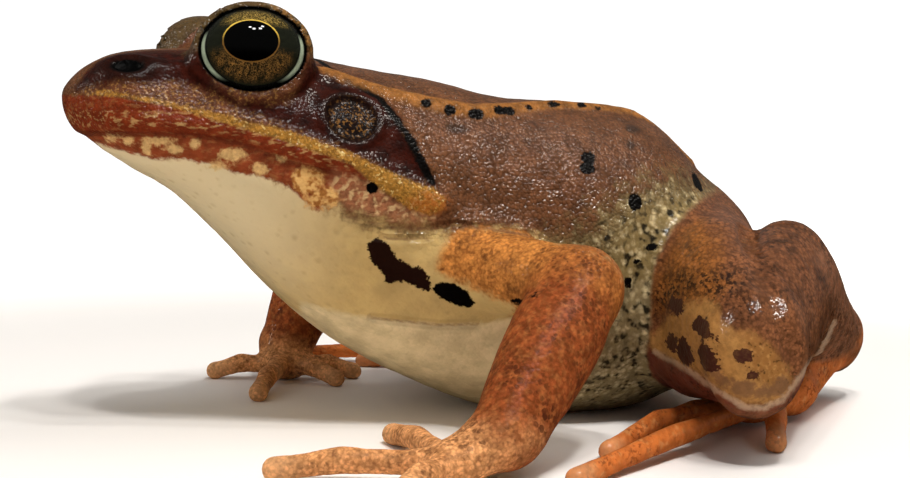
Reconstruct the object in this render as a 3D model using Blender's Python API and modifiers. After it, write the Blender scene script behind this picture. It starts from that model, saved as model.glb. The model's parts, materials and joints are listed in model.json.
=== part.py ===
"""A wood frog sitting on a floor, life size, as a still model for a museum case.

The frog faces -Y, its left side is +X and its belly rests on z = 0. The body is one smooth
form, described in millimetres as a distance to its skin. It is parted at the neck, the mouth
line and the joints of the limbs, and each length is meshed on its own, clear of the next.
"""

import bmesh
import bpy
import numpy as np

MM = 0.001
GAP = 0.34  # clear width between neighbouring pieces, mm
CELL = 0.5  # side of the cells that a piece's first mesh is built from, mm

# The trunk in slices, mm: y, half width, top, bottom, level of the greatest width, squareness.
TRUNK = (
    (-30.3, 3.2, 22.8, 18.6, 20.8, 2.1),
    (-28.3, 4.4, 23.4, 17.8, 19.8, 2.1),
    (-26.0, 5.3, 23.9, 16.6, 19.0, 2.1),
    (-23.0, 6.4, 24.2, 14.9, 18.4, 2.1),
    (-20.0, 7.5, 24.5, 12.2, 17.6, 2.1),
    (-16.8, 8.6, 24.3, 8.9, 16.6, 2.1),
    (-13.5, 9.4, 23.8, 6.0, 15.4, 2.1),
    (-10.0, 9.9, 23.3, 3.8, 13.8, 2.2),
    (-6.5, 10.3, 22.9, 2.1, 12.2, 2.3),
    (-2.5, 11.3, 22.2, 0.45, 10.8, 2.3),
    (2.0, 12.4, 22.0, -0.6, 9.8, 2.3),
    (6.0, 12.4, 21.8, -0.6, 9.2, 2.3),
    (9.5, 11.2, 21.1, -0.3, 9.0, 2.3),
    (12.5, 9.2, 19.4, 0.6, 9.0, 2.2),
    (16.0, 7.0, 16.8, 2.6, 9.2, 2.1),
    (22.0, 4.6, 13.6, 5.4, 9.5, 2.0),
)
SNOUT_CAP = (-26.4, 3.9)  # where the snout starts to round off, and over what length, mm
RUMP_CAP = (15.4, 6.8)

# The left eye, mm: its centre, half sizes forward, upward and outward, and the way it faces.
EYE_CENTRE = (5.1, -19.8, 23.85)
EYE_SIZE = (3.2, 2.65, 2.9)
EYE_OPENING = (3.05, 2.5)
EYE_FACING = (0.93, -0.30, 0.13)
LID = 0.45
ORBIT_BLEND = 1.4  # how far the raised orbit blends into the head

# The mouth line from the tip of the snout to the jaw corner, mm: y, z.
MOUTH = ((-32.0, 18.8), (-24.5, 18.7), (-21.3, 18.2), (-18.1, 17.1), (-14.6, 16.2))
JAW_LEAN = 0.5  # how far the jaw's rear face leans forward for each mm down
NECK = (-11.0, 12.0, 0.12)  # y and z on the neck's parting plane, and its lean

# Forms raised on the trunk, mm. A fold's route is y and x on the back, a gland's y and z on
# the side. A relief is its height, or depth below 0, and its half width.
FOLD_RELIEF = (0.45, 0.6)
FOLD_FRONT = ((-14.5, 5.6), (-11.5, 6.4), (-7.5, 7.0), (-5.0, 7.0))
FOLD_REAR = ((-2.5, 6.2), (1.5, 5.3), (8.0, 4.6), (14.0, 3.4))
JAW_GLAND_RELIEF = (0.6, 0.8)
JAW_GLAND = ((-16.5, 17.6), (-13.8, 16.8), (-11.2, 15.5), (-9.2, 14.6))
EARDRUM = (-14.4, 19.9)
EARDRUM_RADIUS = 1.8
EARDRUM_RIM = (0.28, 0.4)
NOSTRIL = (-26.9, 2.6)
NOSTRIL_RIM = (0.3, 1.1)
NOSTRIL_HOLE = (-0.9, 0.42)

# The hind limb on the left, mm. The right one is its mirror image. Radii are at even steps
# along a length, and a folded limb's muscles are pressed taller than wide.
THIGH = ((4.6, 14.8, 10.0), (14.5, 8.6, 8.9), (23.6, 4.9, 6.7))
THIGH_RADII = (3.9, 3.9, 3.8, 3.5, 2.9)
THIGH_TALL = 1.3
THIGH_UNDER = ((7.0, 13.0, 5.2), (13.5, 8.2, 5.0), (18.5, 6.6, 5.3))  # the loose flesh under it
THIGH_UNDER_RADII = (3.2, 3.0, 2.4)
THIGH_UNDER_BLEND = 1.5
SHANK = ((23.6, 4.9, 6.7), (16.2, 12.8, 9.6), (6.4, 25.4, 4.7))
SHANK_RADII = (2.8, 3.2, 3.1, 2.5, 2.1)
SHANK_TALL = 1.35
TARSUS = ((6.4, 25.4, 4.7), (12.4, 16.4, 2.0))
TARSUS_RADII = (2.1, 1.8, 1.8)
SOLE_RADII = (1.8, 2.0)
SOLE_TALL = 0.7
TOE_ROOTS = (
    (11.0, 13.2, 1.2),
    (12.0, 12.4, 1.3),
    (13.4, 12.0, 1.4),
    (14.8, 12.2, 1.6),
    (15.4, 13.0, 2.2),
)
TOE_TIPS = (
    (10.8, 9.4, 0.65),
    (12.0, 6.2, 0.65),
    (19.2, -2.3, 0.7),
    (24.9, -7.9, 0.7),
    (21.2, 8.4, 0.7),
)
TOE_RADII = (0.68, 0.7, 0.74, 0.78, 0.76)
TOE_ASIDE = (0.0, 0.0, -1.8, 0.0, 0.0)  # how far each toe's knuckle stands off its line, along X
TOE_ARCH = 0.2  # how far the middle knuckle stands above the line from root to tip
TOE_BLEND = 0.6
WEB = 0.6  # thickness of the skin between the toes
WEB_REACH = (0.5, 0.5, 0.3, 0.3)  # how far along the toes each web runs
WEB_BLEND = 0.4

# The fore limbs, mm, each in its own side's coordinates, where X runs away from the body.
SHOULDER = (7.6, -7.2, 10.8)
FORE = {
    "left": {
        "elbow": (17.2, -3.3, 9.9),
        "wrist": (21.5, -10.4, 2.5),
        "palm": (21.5, -13.3, 1.2),
        "tips": ((14.6, -9.6, 0.6), (10.6, -12.4, 0.6), (17.2, -22.2, 0.6), (25.0, -18.4, 0.6)),
    },
    "right": {
        "elbow": (18.0, -6.2, 9.6),
        "wrist": (16.8, -9.8, 2.7),
        "palm": (15.3, -10.6, 1.3),
        "tips": ((13.6, -5.4, 0.6), (10.6, -8.0, 0.6), (6.4, -15.5, 0.6), (17.2, -15.5, 0.6)),
    },
}
UPPER_ARM_RADII = (2.7, 2.55, 2.45, 2.35)
FOREARM_RADII = (2.3, 2.75, 2.5, 2.0)
PALM_RADII = (1.9, 1.8)
PALM_TALL = 0.72
FINGER_RADIUS = 0.7
FINGER_ARCH = 0.35
FINGER_BLEND = 0.7
KNUCKLE = 0.55  # where along a digit its middle knuckle is
DIGIT_GIRTH = (1.15, 0.95, 0.95, 1.05, 1.0, 0.85, 0.95)  # thick at the knuckle and the tip

# How far the flesh of one length blends into the next, mm.
JOINTS = (
    ("trunk", "upper_arm", 2.2),
    ("upper_arm", "forearm", 1.2),
    ("forearm", "hand", 1.0),
    ("trunk", "thigh", 2.0),
    ("thigh", "shank", 0.8),
    ("shank", "tarsus", 0.8),
    ("tarsus", "foot", 0.8),
)

# Each piece: the most triangles it keeps, its colour as seen, and its roughness.
PIECES = {
    "head": (2600, "6E4634", 0.38),
    "lower_jaw": (700, "B98A5E", 0.42),
    "torso": (1900, "8A7258", 0.42),
    "upper_arm": (300, "B9763F", 0.40),
    "forearm": (300, "AE6238", 0.40),
    "hand": (760, "BC6C3C", 0.38),
    "thigh": (520, "9C7048", 0.42),
    "shank": (460, "8A5A44", 0.42),
    "tarsus": (240, "96583A", 0.40),
    "foot": (1050, "BE6630", 0.36),
    "eye": (480, "2A2418", 0.05),
}


def array(values):
    return np.asarray(values, float)


def unit(vector):
    return array(vector) / np.linalg.norm(vector)


def length_of(vectors):
    return np.sqrt((vectors**2).sum(axis=-1))


def smooth_curve(knots, values, at):
    """A smooth curve through the values, level at each high and low point."""
    knots = array(knots)
    values = array(values)
    steps = np.diff(knots)
    slopes = np.diff(values) / steps
    tangents = np.concatenate([slopes[:1], (slopes[1:] + slopes[:-1]) / 2, slopes[-1:]])
    turns = np.concatenate([[False], slopes[1:] * slopes[:-1] <= 0, [False]])
    tangents = np.where(turns, 0.0, tangents)
    at = np.clip(at, knots[0], knots[-1])
    place = np.clip(np.searchsorted(knots, at, side="right") - 1, 0, len(steps) - 1)
    t = (at - knots[place]) / steps[place]
    rise = values[place + 1] - values[place]
    start = tangents[place] * steps[place]
    end = tangents[place + 1] * steps[place]
    return values[place] + t * (start + t * (3 * rise - 2 * start - end + t * (start + end - 2 * rise)))


def smooth_min(first, second, reach):
    """The union of two distances, with a fillet of about this reach."""
    mix = np.clip(0.5 + 0.5 * (second - first) / reach, 0.0, 1.0)
    return second + (first - second) * mix - reach * mix * (1.0 - mix)


def section(y):
    """Half width, top, bottom, widest level and squareness of the trunk at each y."""
    columns = array(TRUNK).T
    return [smooth_curve(columns[0], column, y) for column in columns[1:]]


def trunk_form(points):
    """Distance to the head and trunk before the eyes and the raised forms."""
    x, y, z = points.T
    width, top, bottom, level, power = section(y)
    height = np.where(z > level, top - level, level - bottom)
    snout = np.clip((SNOUT_CAP[0] - y) / SNOUT_CAP[1], 0.0, None)
    rump = np.clip((y - RUMP_CAP[0]) / RUMP_CAP[1], 0.0, None)
    end = np.maximum(snout, rump)
    past = np.maximum(snout * SNOUT_CAP[1], rump * RUMP_CAP[1])
    ratio = (np.abs(x) / width) ** power + (np.abs(z - level) / height) ** power + end**power
    ratio = np.maximum(ratio, 1e-6) ** (1.0 / power)
    size = np.sqrt(x**2 + (z - level) ** 2 + past**2)
    return size * (1.0 - 1.0 / ratio)


def on_back(y, x):
    """The point on the back at this y and x."""
    width, top, _, level, power = section(array([y]))
    rest = 1.0 - (abs(x) / width[0]) ** power[0]
    return (x, y, level[0] + (top[0] - level[0]) * max(rest, 0.0) ** (1.0 / power[0]))


def on_side(y, z):
    """The point on the left side at this y and z."""
    width, top, bottom, level, power = section(array([y]))
    height = top[0] - level[0] if z > level[0] else level[0] - bottom[0]
    rest = 1.0 - (abs(z - level[0]) / height) ** power[0]
    return (width[0] * max(rest, 0.0) ** (1.0 / power[0]), y, z)


def route_distance(points, route):
    """Distance to a route of points."""
    return limb_form(points, route, (0.0, 0.0))


def swell(distance, height, half_width):
    """A round swelling of this height, gone at about twice the half width."""
    return height * np.exp(-((distance / half_width) ** 2))


def relief(points):
    """How far the forms on the trunk stand proud of it; points are folded onto the left side."""
    fold = [on_back(*place) for place in FOLD_FRONT + FOLD_REAR]
    gland = [on_side(*place) for place in JAW_GLAND]
    from_ear = length_of(points - array(on_side(*EARDRUM)))
    from_nostril = length_of(points - array(on_back(*NOSTRIL)))
    height = swell(route_distance(points, fold), *FOLD_RELIEF)
    height += swell(route_distance(points, gland), *JAW_GLAND_RELIEF)
    height += swell(from_ear - EARDRUM_RADIUS, *EARDRUM_RIM)
    height += swell(from_nostril, *NOSTRIL_RIM) + swell(from_nostril, *NOSTRIL_HOLE)
    return height


def eye_offsets(points):
    """Offsets from the left eye's centre, forward, upward and outward."""
    outward = unit(EYE_FACING)
    forward = unit(np.cross(outward, (0.0, 0.0, 1.0)))
    upward = np.cross(forward, outward)
    axes = np.stack([forward, upward, outward])
    return (points - array(EYE_CENTRE)) @ axes.T


def eye_form(points, grown):
    """Distance to the eyeball, made larger all round by this much."""
    offsets = eye_offsets(points)
    ratio = np.maximum(length_of(offsets / (array(EYE_SIZE) + grown)), 1e-6)
    return length_of(offsets) * (1.0 - 1.0 / ratio)


def eye_window(points):
    """Distance to the almond space between the lids, which runs outward from the eyeball."""
    forward, upward, outward = eye_offsets(points).T
    around = np.hypot(forward / EYE_OPENING[0], upward / EYE_OPENING[1]) - 1.0
    return np.maximum(around * EYE_OPENING[1], -outward)


def trunk(points):
    """Distance to the head and trunk with their folds, glands, eardrums and lids."""
    folded = np.concatenate([np.abs(points[:, :1]), points[:, 1:]], axis=1)
    body = smooth_min(trunk_form(folded), eye_form(folded, GAP + LID), ORBIT_BLEND)
    return body - relief(folded)


def limb_form(points, route, radii, tall=1.0):
    """Distance to a limb along a route, with radii at even steps, stretched upright by tall."""
    route = array(route)
    lengths = length_of(route[1:] - route[:-1])
    ends = np.concatenate([[0.0], np.cumsum(lengths)]) / lengths.sum()
    nearest = np.full(len(points), np.inf)
    for number, start in enumerate(route[:-1]):
        axis = route[number + 1] - start
        offset = points - start
        t = np.clip(offset @ axis / (axis @ axis), 0.0, 1.0)
        place = ends[number] + t * (ends[number + 1] - ends[number])
        radius = smooth_curve(np.linspace(0.0, 1.0, len(radii)), radii, place)
        across = offset - np.outer(t, axis)
        across[:, 2] /= tall
        nearest = np.minimum(nearest, length_of(across) - radius)
    return nearest


def digit_form(points, root, tip, radius, arch, aside=0.0):
    """A finger or toe: two lengths that meet at a raised knuckle."""
    root = array(root)
    tip = array(tip)
    knuckle = root * (1 - KNUCKLE) + tip * KNUCKLE + array((aside, 0.0, arch))
    return limb_form(points, (root, knuckle, tip), radius * array(DIGIT_GIRTH))


def web_form(points, corner, first, second):
    """The skin between two toes, from the corner between their roots to a hollow edge."""
    corner = array(corner)
    sides = np.stack([array(first) - corner, array(second) - corner])
    normal = unit(np.cross(*sides))
    offset = points - corner
    along = offset @ np.linalg.pinv(sides)
    size = length_of(sides).min() * 0.6
    hollow = along.sum(axis=1) + 1.2 * np.clip(along, 0.0, 1.0).prod(axis=1) - 1.0
    outside = np.maximum(-along.min(axis=1), hollow) * size
    return np.maximum(outside, np.abs(offset @ normal) - WEB / 2)


def hand_form(points, joints):
    palm = limb_form(points, (joints["wrist"], joints["palm"]), PALM_RADII, PALM_TALL)
    for tip in joints["tips"]:
        root = array(joints["palm"]) * 0.8 + array(tip) * 0.2
        finger = digit_form(points, root, tip, FINGER_RADIUS, FINGER_ARCH)
        palm = smooth_min(palm, finger, FINGER_BLEND)
    return palm


def toe_place(number, reach):
    """The place this far along a toe, from 0 at its root to 1 at its tip."""
    place = array(TOE_ROOTS[number]) * (1 - reach) + array(TOE_TIPS[number]) * reach
    place[0] += TOE_ASIDE[number] * min(reach / KNUCKLE, (1 - reach) / (1 - KNUCKLE))
    return place


def foot_form(points):
    ball = array(TOE_ROOTS).mean(axis=0)
    sole = limb_form(points, (TARSUS[-1], ball), SOLE_RADII, SOLE_TALL)
    for root, tip, radius, aside in zip(TOE_ROOTS, TOE_TIPS, TOE_RADII, TOE_ASIDE):
        sole = smooth_min(sole, digit_form(points, root, tip, radius, TOE_ARCH, aside), TOE_BLEND)
    for number, reach in enumerate(WEB_REACH):
        pair = (number, number + 1)
        corner = array([TOE_ROOTS[n] for n in pair]).mean(axis=0)
        edge = [toe_place(n, reach) for n in pair]
        sole = smooth_min(sole, web_form(points, corner, *edge), WEB_BLEND)
    return sole


def limb_forms(points, side):
    """Distances to the lengths of one side's limbs, in that side's own coordinates."""
    joints = FORE[side]
    upper_arm = (SHOULDER, joints["elbow"])
    forearm = (joints["elbow"], joints["wrist"])
    thigh = limb_form(points, THIGH, THIGH_RADII, THIGH_TALL)
    under = limb_form(points, THIGH_UNDER, THIGH_UNDER_RADII)
    return {
        "upper_arm": limb_form(points, upper_arm, UPPER_ARM_RADII),
        "forearm": limb_form(points, forearm, FOREARM_RADII),
        "hand": hand_form(points, joints),
        "thigh": smooth_min(thigh, under, THIGH_UNDER_BLEND),
        "shank": limb_form(points, SHANK, SHANK_RADII, SHANK_TALL),
        "tarsus": limb_form(points, TARSUS, TARSUS_RADII),
        "foot": foot_form(points),
    }


def forms(points):
    """Distances to every length of the body, by name."""
    found = {"trunk": trunk(points)}
    mirrored = points * array((-1.0, 1.0, 1.0))
    for side, place in (("left", points), ("right", mirrored)):
        for name, distance in limb_forms(place, side).items():
            found[name + "_" + side] = distance
    return found


def skin(found):
    """The whole frog: lengths that join blend into one another, and others only touch."""
    body = np.min(np.stack(list(found.values())), axis=0)
    for side in ("_left", "_right"):
        for first, second, reach in JOINTS:
            near = found[first if first == "trunk" else first + side]
            body = np.minimum(body, smooth_min(near, found[second + side], reach))
    return body


def trunk_cut(name, points):
    """Distance to the faces that part head, lower jaw and torso, and the eye sockets."""
    y, z = points[:, 1], points[:, 2]
    mouth_y, mouth_z = array(MOUTH).T
    corner_y, corner_z = MOUTH[-1]
    above_mouth = z - smooth_curve(mouth_y, mouth_z, y)
    behind_jaw = y - corner_y + JAW_LEAN * (corner_z - z)
    behind_neck = y - NECK[0] - NECK[2] * (z - NECK[1])
    jaw = np.maximum(above_mouth, behind_jaw)
    if name == "lower_jaw":
        return jaw + GAP / 2
    if name == "torso":
        return np.maximum(GAP / 2 - jaw, GAP / 2 - behind_neck)
    folded = np.concatenate([np.abs(points[:, :1]), points[:, 1:]], axis=1)
    socket = np.minimum(eye_form(folded, GAP), eye_window(folded))
    return np.maximum.reduce([GAP / 2 - jaw, GAP / 2 + behind_neck, -socket])


def piece_layers(name, points):
    """Distances to the frog's skin and to the faces that part this piece from the others."""
    found = forms(points)
    of_trunk = name in ("head", "lower_jaw", "torso")
    own = "trunk" if of_trunk else name
    others = [distance for key, distance in found.items() if key != own]
    parting = (found[own] - np.min(np.stack(others), axis=0)) / 2 + GAP / 2
    if of_trunk:
        parting = np.maximum(parting, trunk_cut(name, points))
    return np.stack([skin(found), parting], axis=1)


def piece_form(name, points):
    return piece_layers(name, points).max(axis=1)


def filled_cells(name, low, high):
    """Which cells of a grid lie inside the piece, found coarsely first."""
    coarse = CELL * 3
    counts = np.ceil((array(high) - array(low)) / coarse).astype(int)
    corner = array(low)
    index = np.stack(np.meshgrid(*[np.arange(n) for n in counts], indexing="ij"), -1).reshape(-1, 3)
    rough = piece_form(name, corner + (index + 0.5) * coarse)
    filled = np.repeat((rough < 0).reshape(counts), 3, 0).repeat(3, 1).repeat(3, 2)
    near = index[np.abs(rough) < coarse * 1.2]
    steps = np.stack(np.meshgrid(*[np.arange(3)] * 3, indexing="ij"), -1).reshape(-1, 3)
    cells = (near[:, None] * 3 + steps).reshape(-1, 3)
    filled[tuple(cells.T)] = piece_form(name, corner + (cells + 0.5) * CELL) < 0
    return np.pad(filled, 1)


def block_mesh(filled, low):
    """Corners and faces between the full and the empty cells, faces pointing out."""
    faces = []
    ring = np.array([(0, 0, 0), (0, 1, 0), (0, 1, 1), (0, 0, 1)])
    for axis in range(3):
        order = [axis] + [other for other in range(3) if other != axis]
        turned = filled.transpose(order).astype(int)
        change = turned[1:] - turned[:-1]
        for sign in (1, -1):
            cells = np.argwhere(change == sign) + np.array([1, 0, 0])
            way = -sign if axis == 1 else sign
            corners = cells[:, None] + ring[::-way]
            faces.append(corners[:, :, np.argsort(order)])
    faces = np.concatenate(faces).reshape(-1, 3)
    corners, index = np.unique(faces, axis=0, return_inverse=True)
    return array(low) + (corners - 1) * CELL, index.reshape(-1, 4)


def draw_to_form(name, mesh, rounds):
    """Moves each vertex onto its piece's surface, or onto the edge between skin and parting."""
    points = np.empty(len(mesh.vertices) * 3)
    mesh.vertices.foreach_get("co", points)
    points = points.reshape(-1, 3) / MM
    step = 0.02
    for _ in range(rounds):
        layers = piece_layers(name, points)
        sides = [(piece_layers(name, points + step * way) - layers) / step for way in np.eye(3)]
        slopes = np.stack(sides, axis=2)
        nearer = layers.argmax(axis=1)
        rows = np.arange(len(points))
        slope = slopes[rows, nearer]
        steep = np.maximum((slope**2).sum(axis=1), 0.2)
        move = -(layers.max(axis=1) / steep)[:, None] * slope
        on_edge = np.abs(layers).max(axis=1) < CELL * 0.55
        move[on_edge] = -(np.linalg.pinv(slopes[on_edge], rcond=0.3) @ layers[on_edge][:, :, None])[..., 0]
        points += move * np.minimum(1.0, CELL / np.maximum(length_of(move), 1e-9))[:, None]
    mesh.vertices.foreach_set("co", (points * MM).ravel())
    mesh.update()


def with_modifier(obj, kind, **settings):
    """Puts one modifier on an object, keeps its result as the mesh, and takes it off again."""
    modifier = obj.modifiers.new(kind.title(), kind)
    for key, value in settings.items():
        setattr(modifier, key, value)
    graph = bpy.context.evaluated_depsgraph_get()
    result = bpy.data.meshes.new_from_object(obj.evaluated_get(graph))
    obj.modifiers.remove(modifier)
    old = obj.data
    obj.data = result
    bpy.data.meshes.remove(old)


def flat_on_floor(mesh):
    """Cuts off what lies below the floor, closes the cut and keeps the largest closed surface."""
    form = bmesh.new()
    form.from_mesh(mesh)
    everything = form.verts[:] + form.edges[:] + form.faces[:]
    cut = bmesh.ops.bisect_plane(
        form, geom=everything, dist=1e-6, plane_co=(0, 0, 0), plane_no=(0, 0, -1), clear_outer=True
    )
    edges = [item for item in cut["geom_cut"] if isinstance(item, bmesh.types.BMEdge)]
    if edges:
        bmesh.ops.holes_fill(form, edges=[edge for edge in edges if edge.is_boundary], sides=0)
    bmesh.ops.triangulate(form, faces=form.faces[:])
    keep_largest(form)
    form.to_mesh(mesh)
    form.free()


def keep_largest(form):
    """Removes every closed surface of a mesh but the one with the most faces."""
    left = set(form.faces)
    groups = []
    while left:
        group = {left.pop()}
        edge_of = list(group)
        while edge_of:
            face = edge_of.pop()
            for edge in face.edges:
                for other in edge.link_faces:
                    if other in left:
                        left.remove(other)
                        group.add(other)
                        edge_of.append(other)
        groups.append(group)
    groups.sort(key=len)
    loose = [face for group in groups[:-1] for face in group]
    bmesh.ops.delete(form, geom=loose, context="FACES")
    bmesh.ops.delete(form, geom=[v for v in form.verts if not v.link_faces], context="VERTS")


def linear(hex_colour):
    """A linear RGBA colour from an sRGB hex one."""
    channels = [int(hex_colour[n : n + 2], 16) / 255 for n in (0, 2, 4)]
    return [c / 12.92 if c < 0.04045 else ((c + 0.055) / 1.055) ** 2.4 for c in channels] + [1.0]


def finish(name, kind, mesh, collection):
    """Names the piece, gives it its own material and links it to the frog's collection."""
    _, colour, roughness = PIECES[kind]
    material = bpy.data.materials.new(name + "_skin" if kind != "eye" else name)
    material.use_nodes = True
    shader = material.node_tree.nodes["Principled BSDF"]
    shader.inputs["Base Color"].default_value = linear(colour)
    shader.inputs["Roughness"].default_value = roughness
    shader.inputs["Metallic"].default_value = 0.0
    mesh.materials.clear()
    mesh.materials.append(material)
    mesh.shade_smooth()
    piece = bpy.data.objects.new(name, mesh)
    collection.objects.link(piece)
    return piece


def make_flesh(name, kind, box, collection):
    """One length of the body: cells, then a voxel remesh, drawn onto the form and thinned out."""
    low, high = box
    corners, faces = block_mesh(filled_cells(name, low, high), low)
    rough = bpy.data.meshes.new(name)
    rough.from_pydata((corners * MM).tolist(), [], faces.tolist())
    piece = finish(name, kind, rough, collection)
    with_modifier(piece, "REMESH", mode="VOXEL", voxel_size=CELL * MM)
    with_modifier(piece, "SMOOTH", factor=0.5, iterations=4)
    draw_to_form(name, piece.data, 3)
    with_modifier(piece, "SMOOTH", factor=0.4, iterations=2)
    draw_to_form(name, piece.data, 2)
    triangles = 2 * len(piece.data.polygons)
    with_modifier(piece, "DECIMATE", ratio=PIECES[kind][0] / triangles)
    flat_on_floor(piece.data)
    piece.data.shade_smooth()


def make_eye(name, side, collection):
    """An eyeball, egg-shaped along the opening between its lids."""
    form = bmesh.new()
    bmesh.ops.create_uvsphere(form, u_segments=20, v_segments=12, radius=1.0)
    outward = unit(EYE_FACING)
    forward = unit(np.cross(outward, (0.0, 0.0, 1.0)))
    upward = np.cross(forward, outward)
    for vertex in form.verts:
        x, y, z = np.array(vertex.co) * array(EYE_SIZE)
        place = array(EYE_CENTRE) + x * forward + y * upward + z * outward
        vertex.co = place * array((side, 1.0, 1.0)) * MM
    form.normal_update()
    bmesh.ops.recalc_face_normals(form, faces=form.faces[:])
    mesh = bpy.data.meshes.new(name)
    form.to_mesh(mesh)
    form.free()
    finish(name, "eye", mesh, collection)


def boxes():
    """The corners of a box round each piece, from a coarse look at the whole frog."""
    step = 1.5
    low = array((-34.0, -34.0, -1.5))
    counts = (46, 46, 21)
    index = np.stack(np.meshgrid(*[np.arange(n) for n in counts], indexing="ij"), -1).reshape(-1, 3)
    points = low + index * step
    found = forms(points)
    whole = skin(found)
    trunk_pieces = {"head": (-40.0, -6.0), "lower_jaw": (-40.0, -10.0), "torso": (-20.0, 40.0)}
    result = {}
    for key, distance in found.items():
        near = points[(distance < step) & (whole < step)]
        result[key] = (near.min(axis=0) - step, near.max(axis=0) + step)
    low_trunk, high_trunk = result.pop("trunk")
    for key, (front, back) in trunk_pieces.items():
        low_end, high_end = low_trunk.copy(), high_trunk.copy()
        low_end[1] = max(low_end[1], front)
        high_end[1] = min(high_end[1], back)
        result[key] = (low_end, high_end)
    return result


def main():
    for obj in list(bpy.data.objects):
        bpy.data.objects.remove(obj)
    frog = bpy.data.collections.new("wood_frog")
    bpy.context.scene.collection.children.link(frog)
    for name, box in boxes().items():
        kind = name.replace("_left", "").replace("_right", "")
        make_flesh(name, kind, box, frog)
    make_eye("eye_left", 1.0, frog)
    make_eye("eye_right", -1.0, frog)


main()
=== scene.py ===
"""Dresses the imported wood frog: one skin over all its flesh, two wet eyes, a pale floor and light.

The frog faces -Y, its left side is +X and it sits on z = 0. Shapes are worked out in
millimetres, and markings are placed through the camera onto the skin and mirrored.
"""

import json
import math

import bpy
import numpy as np
from bpy.props import FloatProperty, FloatVectorProperty, PointerProperty
from mathutils import Matrix, Quaternion, Vector
from mathutils.bvhtree import BVHTree

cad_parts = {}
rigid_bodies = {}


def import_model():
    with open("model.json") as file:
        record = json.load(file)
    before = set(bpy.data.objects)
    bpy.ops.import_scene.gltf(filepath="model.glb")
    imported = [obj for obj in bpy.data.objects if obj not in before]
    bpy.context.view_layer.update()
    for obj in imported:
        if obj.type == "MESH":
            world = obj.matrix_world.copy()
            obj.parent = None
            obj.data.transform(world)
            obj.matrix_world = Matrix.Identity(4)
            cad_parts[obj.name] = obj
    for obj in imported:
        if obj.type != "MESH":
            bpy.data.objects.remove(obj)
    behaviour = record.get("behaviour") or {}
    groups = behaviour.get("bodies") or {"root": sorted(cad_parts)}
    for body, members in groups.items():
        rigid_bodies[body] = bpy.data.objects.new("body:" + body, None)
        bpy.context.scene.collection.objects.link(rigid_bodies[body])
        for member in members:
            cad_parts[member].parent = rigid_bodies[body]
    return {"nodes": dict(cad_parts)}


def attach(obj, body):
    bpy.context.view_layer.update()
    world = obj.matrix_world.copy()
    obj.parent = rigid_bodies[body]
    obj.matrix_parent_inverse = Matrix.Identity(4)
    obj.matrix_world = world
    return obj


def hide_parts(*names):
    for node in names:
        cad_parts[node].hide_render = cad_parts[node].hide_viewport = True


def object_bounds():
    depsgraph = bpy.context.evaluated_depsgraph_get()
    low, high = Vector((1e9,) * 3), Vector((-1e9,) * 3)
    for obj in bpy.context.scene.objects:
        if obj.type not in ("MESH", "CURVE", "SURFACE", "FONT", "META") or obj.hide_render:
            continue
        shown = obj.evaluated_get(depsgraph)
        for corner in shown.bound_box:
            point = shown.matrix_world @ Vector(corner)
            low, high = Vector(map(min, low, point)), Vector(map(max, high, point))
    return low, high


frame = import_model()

bl_info = {
    "name": "Wood frog museum model",
    "version": (1, 0, 0),
    "blender": (4, 5, 0),
    "location": "View3D > Sidebar > Frog",
    "description": "Skin, eyes and display light for a life-size still model of a wood frog",
    "category": "Add Mesh",
}

MM = 0.001
CAD_BOX = [list(corner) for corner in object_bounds()]
FLESH = [name for name in frame["nodes"] if not name.startswith("eye_")]
PHOTO_SIZE = (910, 478)

# The trunk in slices, mm: y, half width, top, bottom, level of the greatest width, squareness.
TRUNK = (
    (-30.3, 3.2, 22.8, 18.6, 20.8, 2.1),
    (-28.3, 4.4, 23.4, 17.8, 19.8, 2.1),
    (-26.0, 5.3, 23.9, 16.6, 19.0, 2.1),
    (-23.0, 6.4, 24.2, 14.9, 18.4, 2.1),
    (-20.0, 7.5, 24.5, 12.2, 17.6, 2.1),
    (-16.8, 8.6, 24.3, 8.9, 16.6, 2.1),
    (-13.5, 9.4, 23.8, 6.0, 15.4, 2.1),
    (-10.0, 9.9, 23.3, 3.8, 13.8, 2.2),
    (-6.5, 10.3, 22.9, 2.1, 12.2, 2.3),
    (-2.5, 11.3, 22.2, 0.45, 10.8, 2.3),
    (2.0, 12.4, 22.0, -0.6, 9.8, 2.3),
    (6.0, 12.4, 21.8, -0.6, 9.2, 2.3),
    (9.5, 11.2, 21.1, -0.3, 9.0, 2.3),
    (12.5, 9.2, 19.4, 0.6, 9.0, 2.2),
    (16.0, 7.0, 16.8, 2.6, 9.2, 2.1),
    (22.0, 4.6, 13.6, 5.4, 9.5, 2.0),
)
SNOUT_CAP = (-26.4, 3.9)
SNOUT_BLUNT = 3.0
RUMP_CAP = (15.4, 6.8)

# The left eye, mm: its centre, half sizes forward, upward and outward, and the way it faces.
EYE_CENTRE = (5.1, -19.8, 23.74)
EYE_SIZE = (3.3, 2.72, 2.9)
EYE_OPENING = (3.2, 2.6)
EYE_FACING = (0.93, -0.30, 0.13)
PUPIL_CENTRE = (0.1, 0.22)
PUPIL_SIZE = (1.62, 1.26)
IRIS_SIZE = (2.82, 2.38)
IRIS_RISE = 0.05
EYE_SEAT = 0.2  # how deep under the eyeball the skin of its opening lies
LID = 0.3
LID_ROUND = 0.26
ORBIT_BLEND = 1.4
# Rings round the lids' opening: place outside it, height and half width, as shares of its size
# but for the height.
LID_ROLL = ((0.12, 0.15, 0.09), (0.3, -0.07, 0.08))
LID_PLEAT = ((0.2, 0.13, 0.07), (0.1, -0.05, 0.05), (0.33, -0.08, 0.07))

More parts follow.
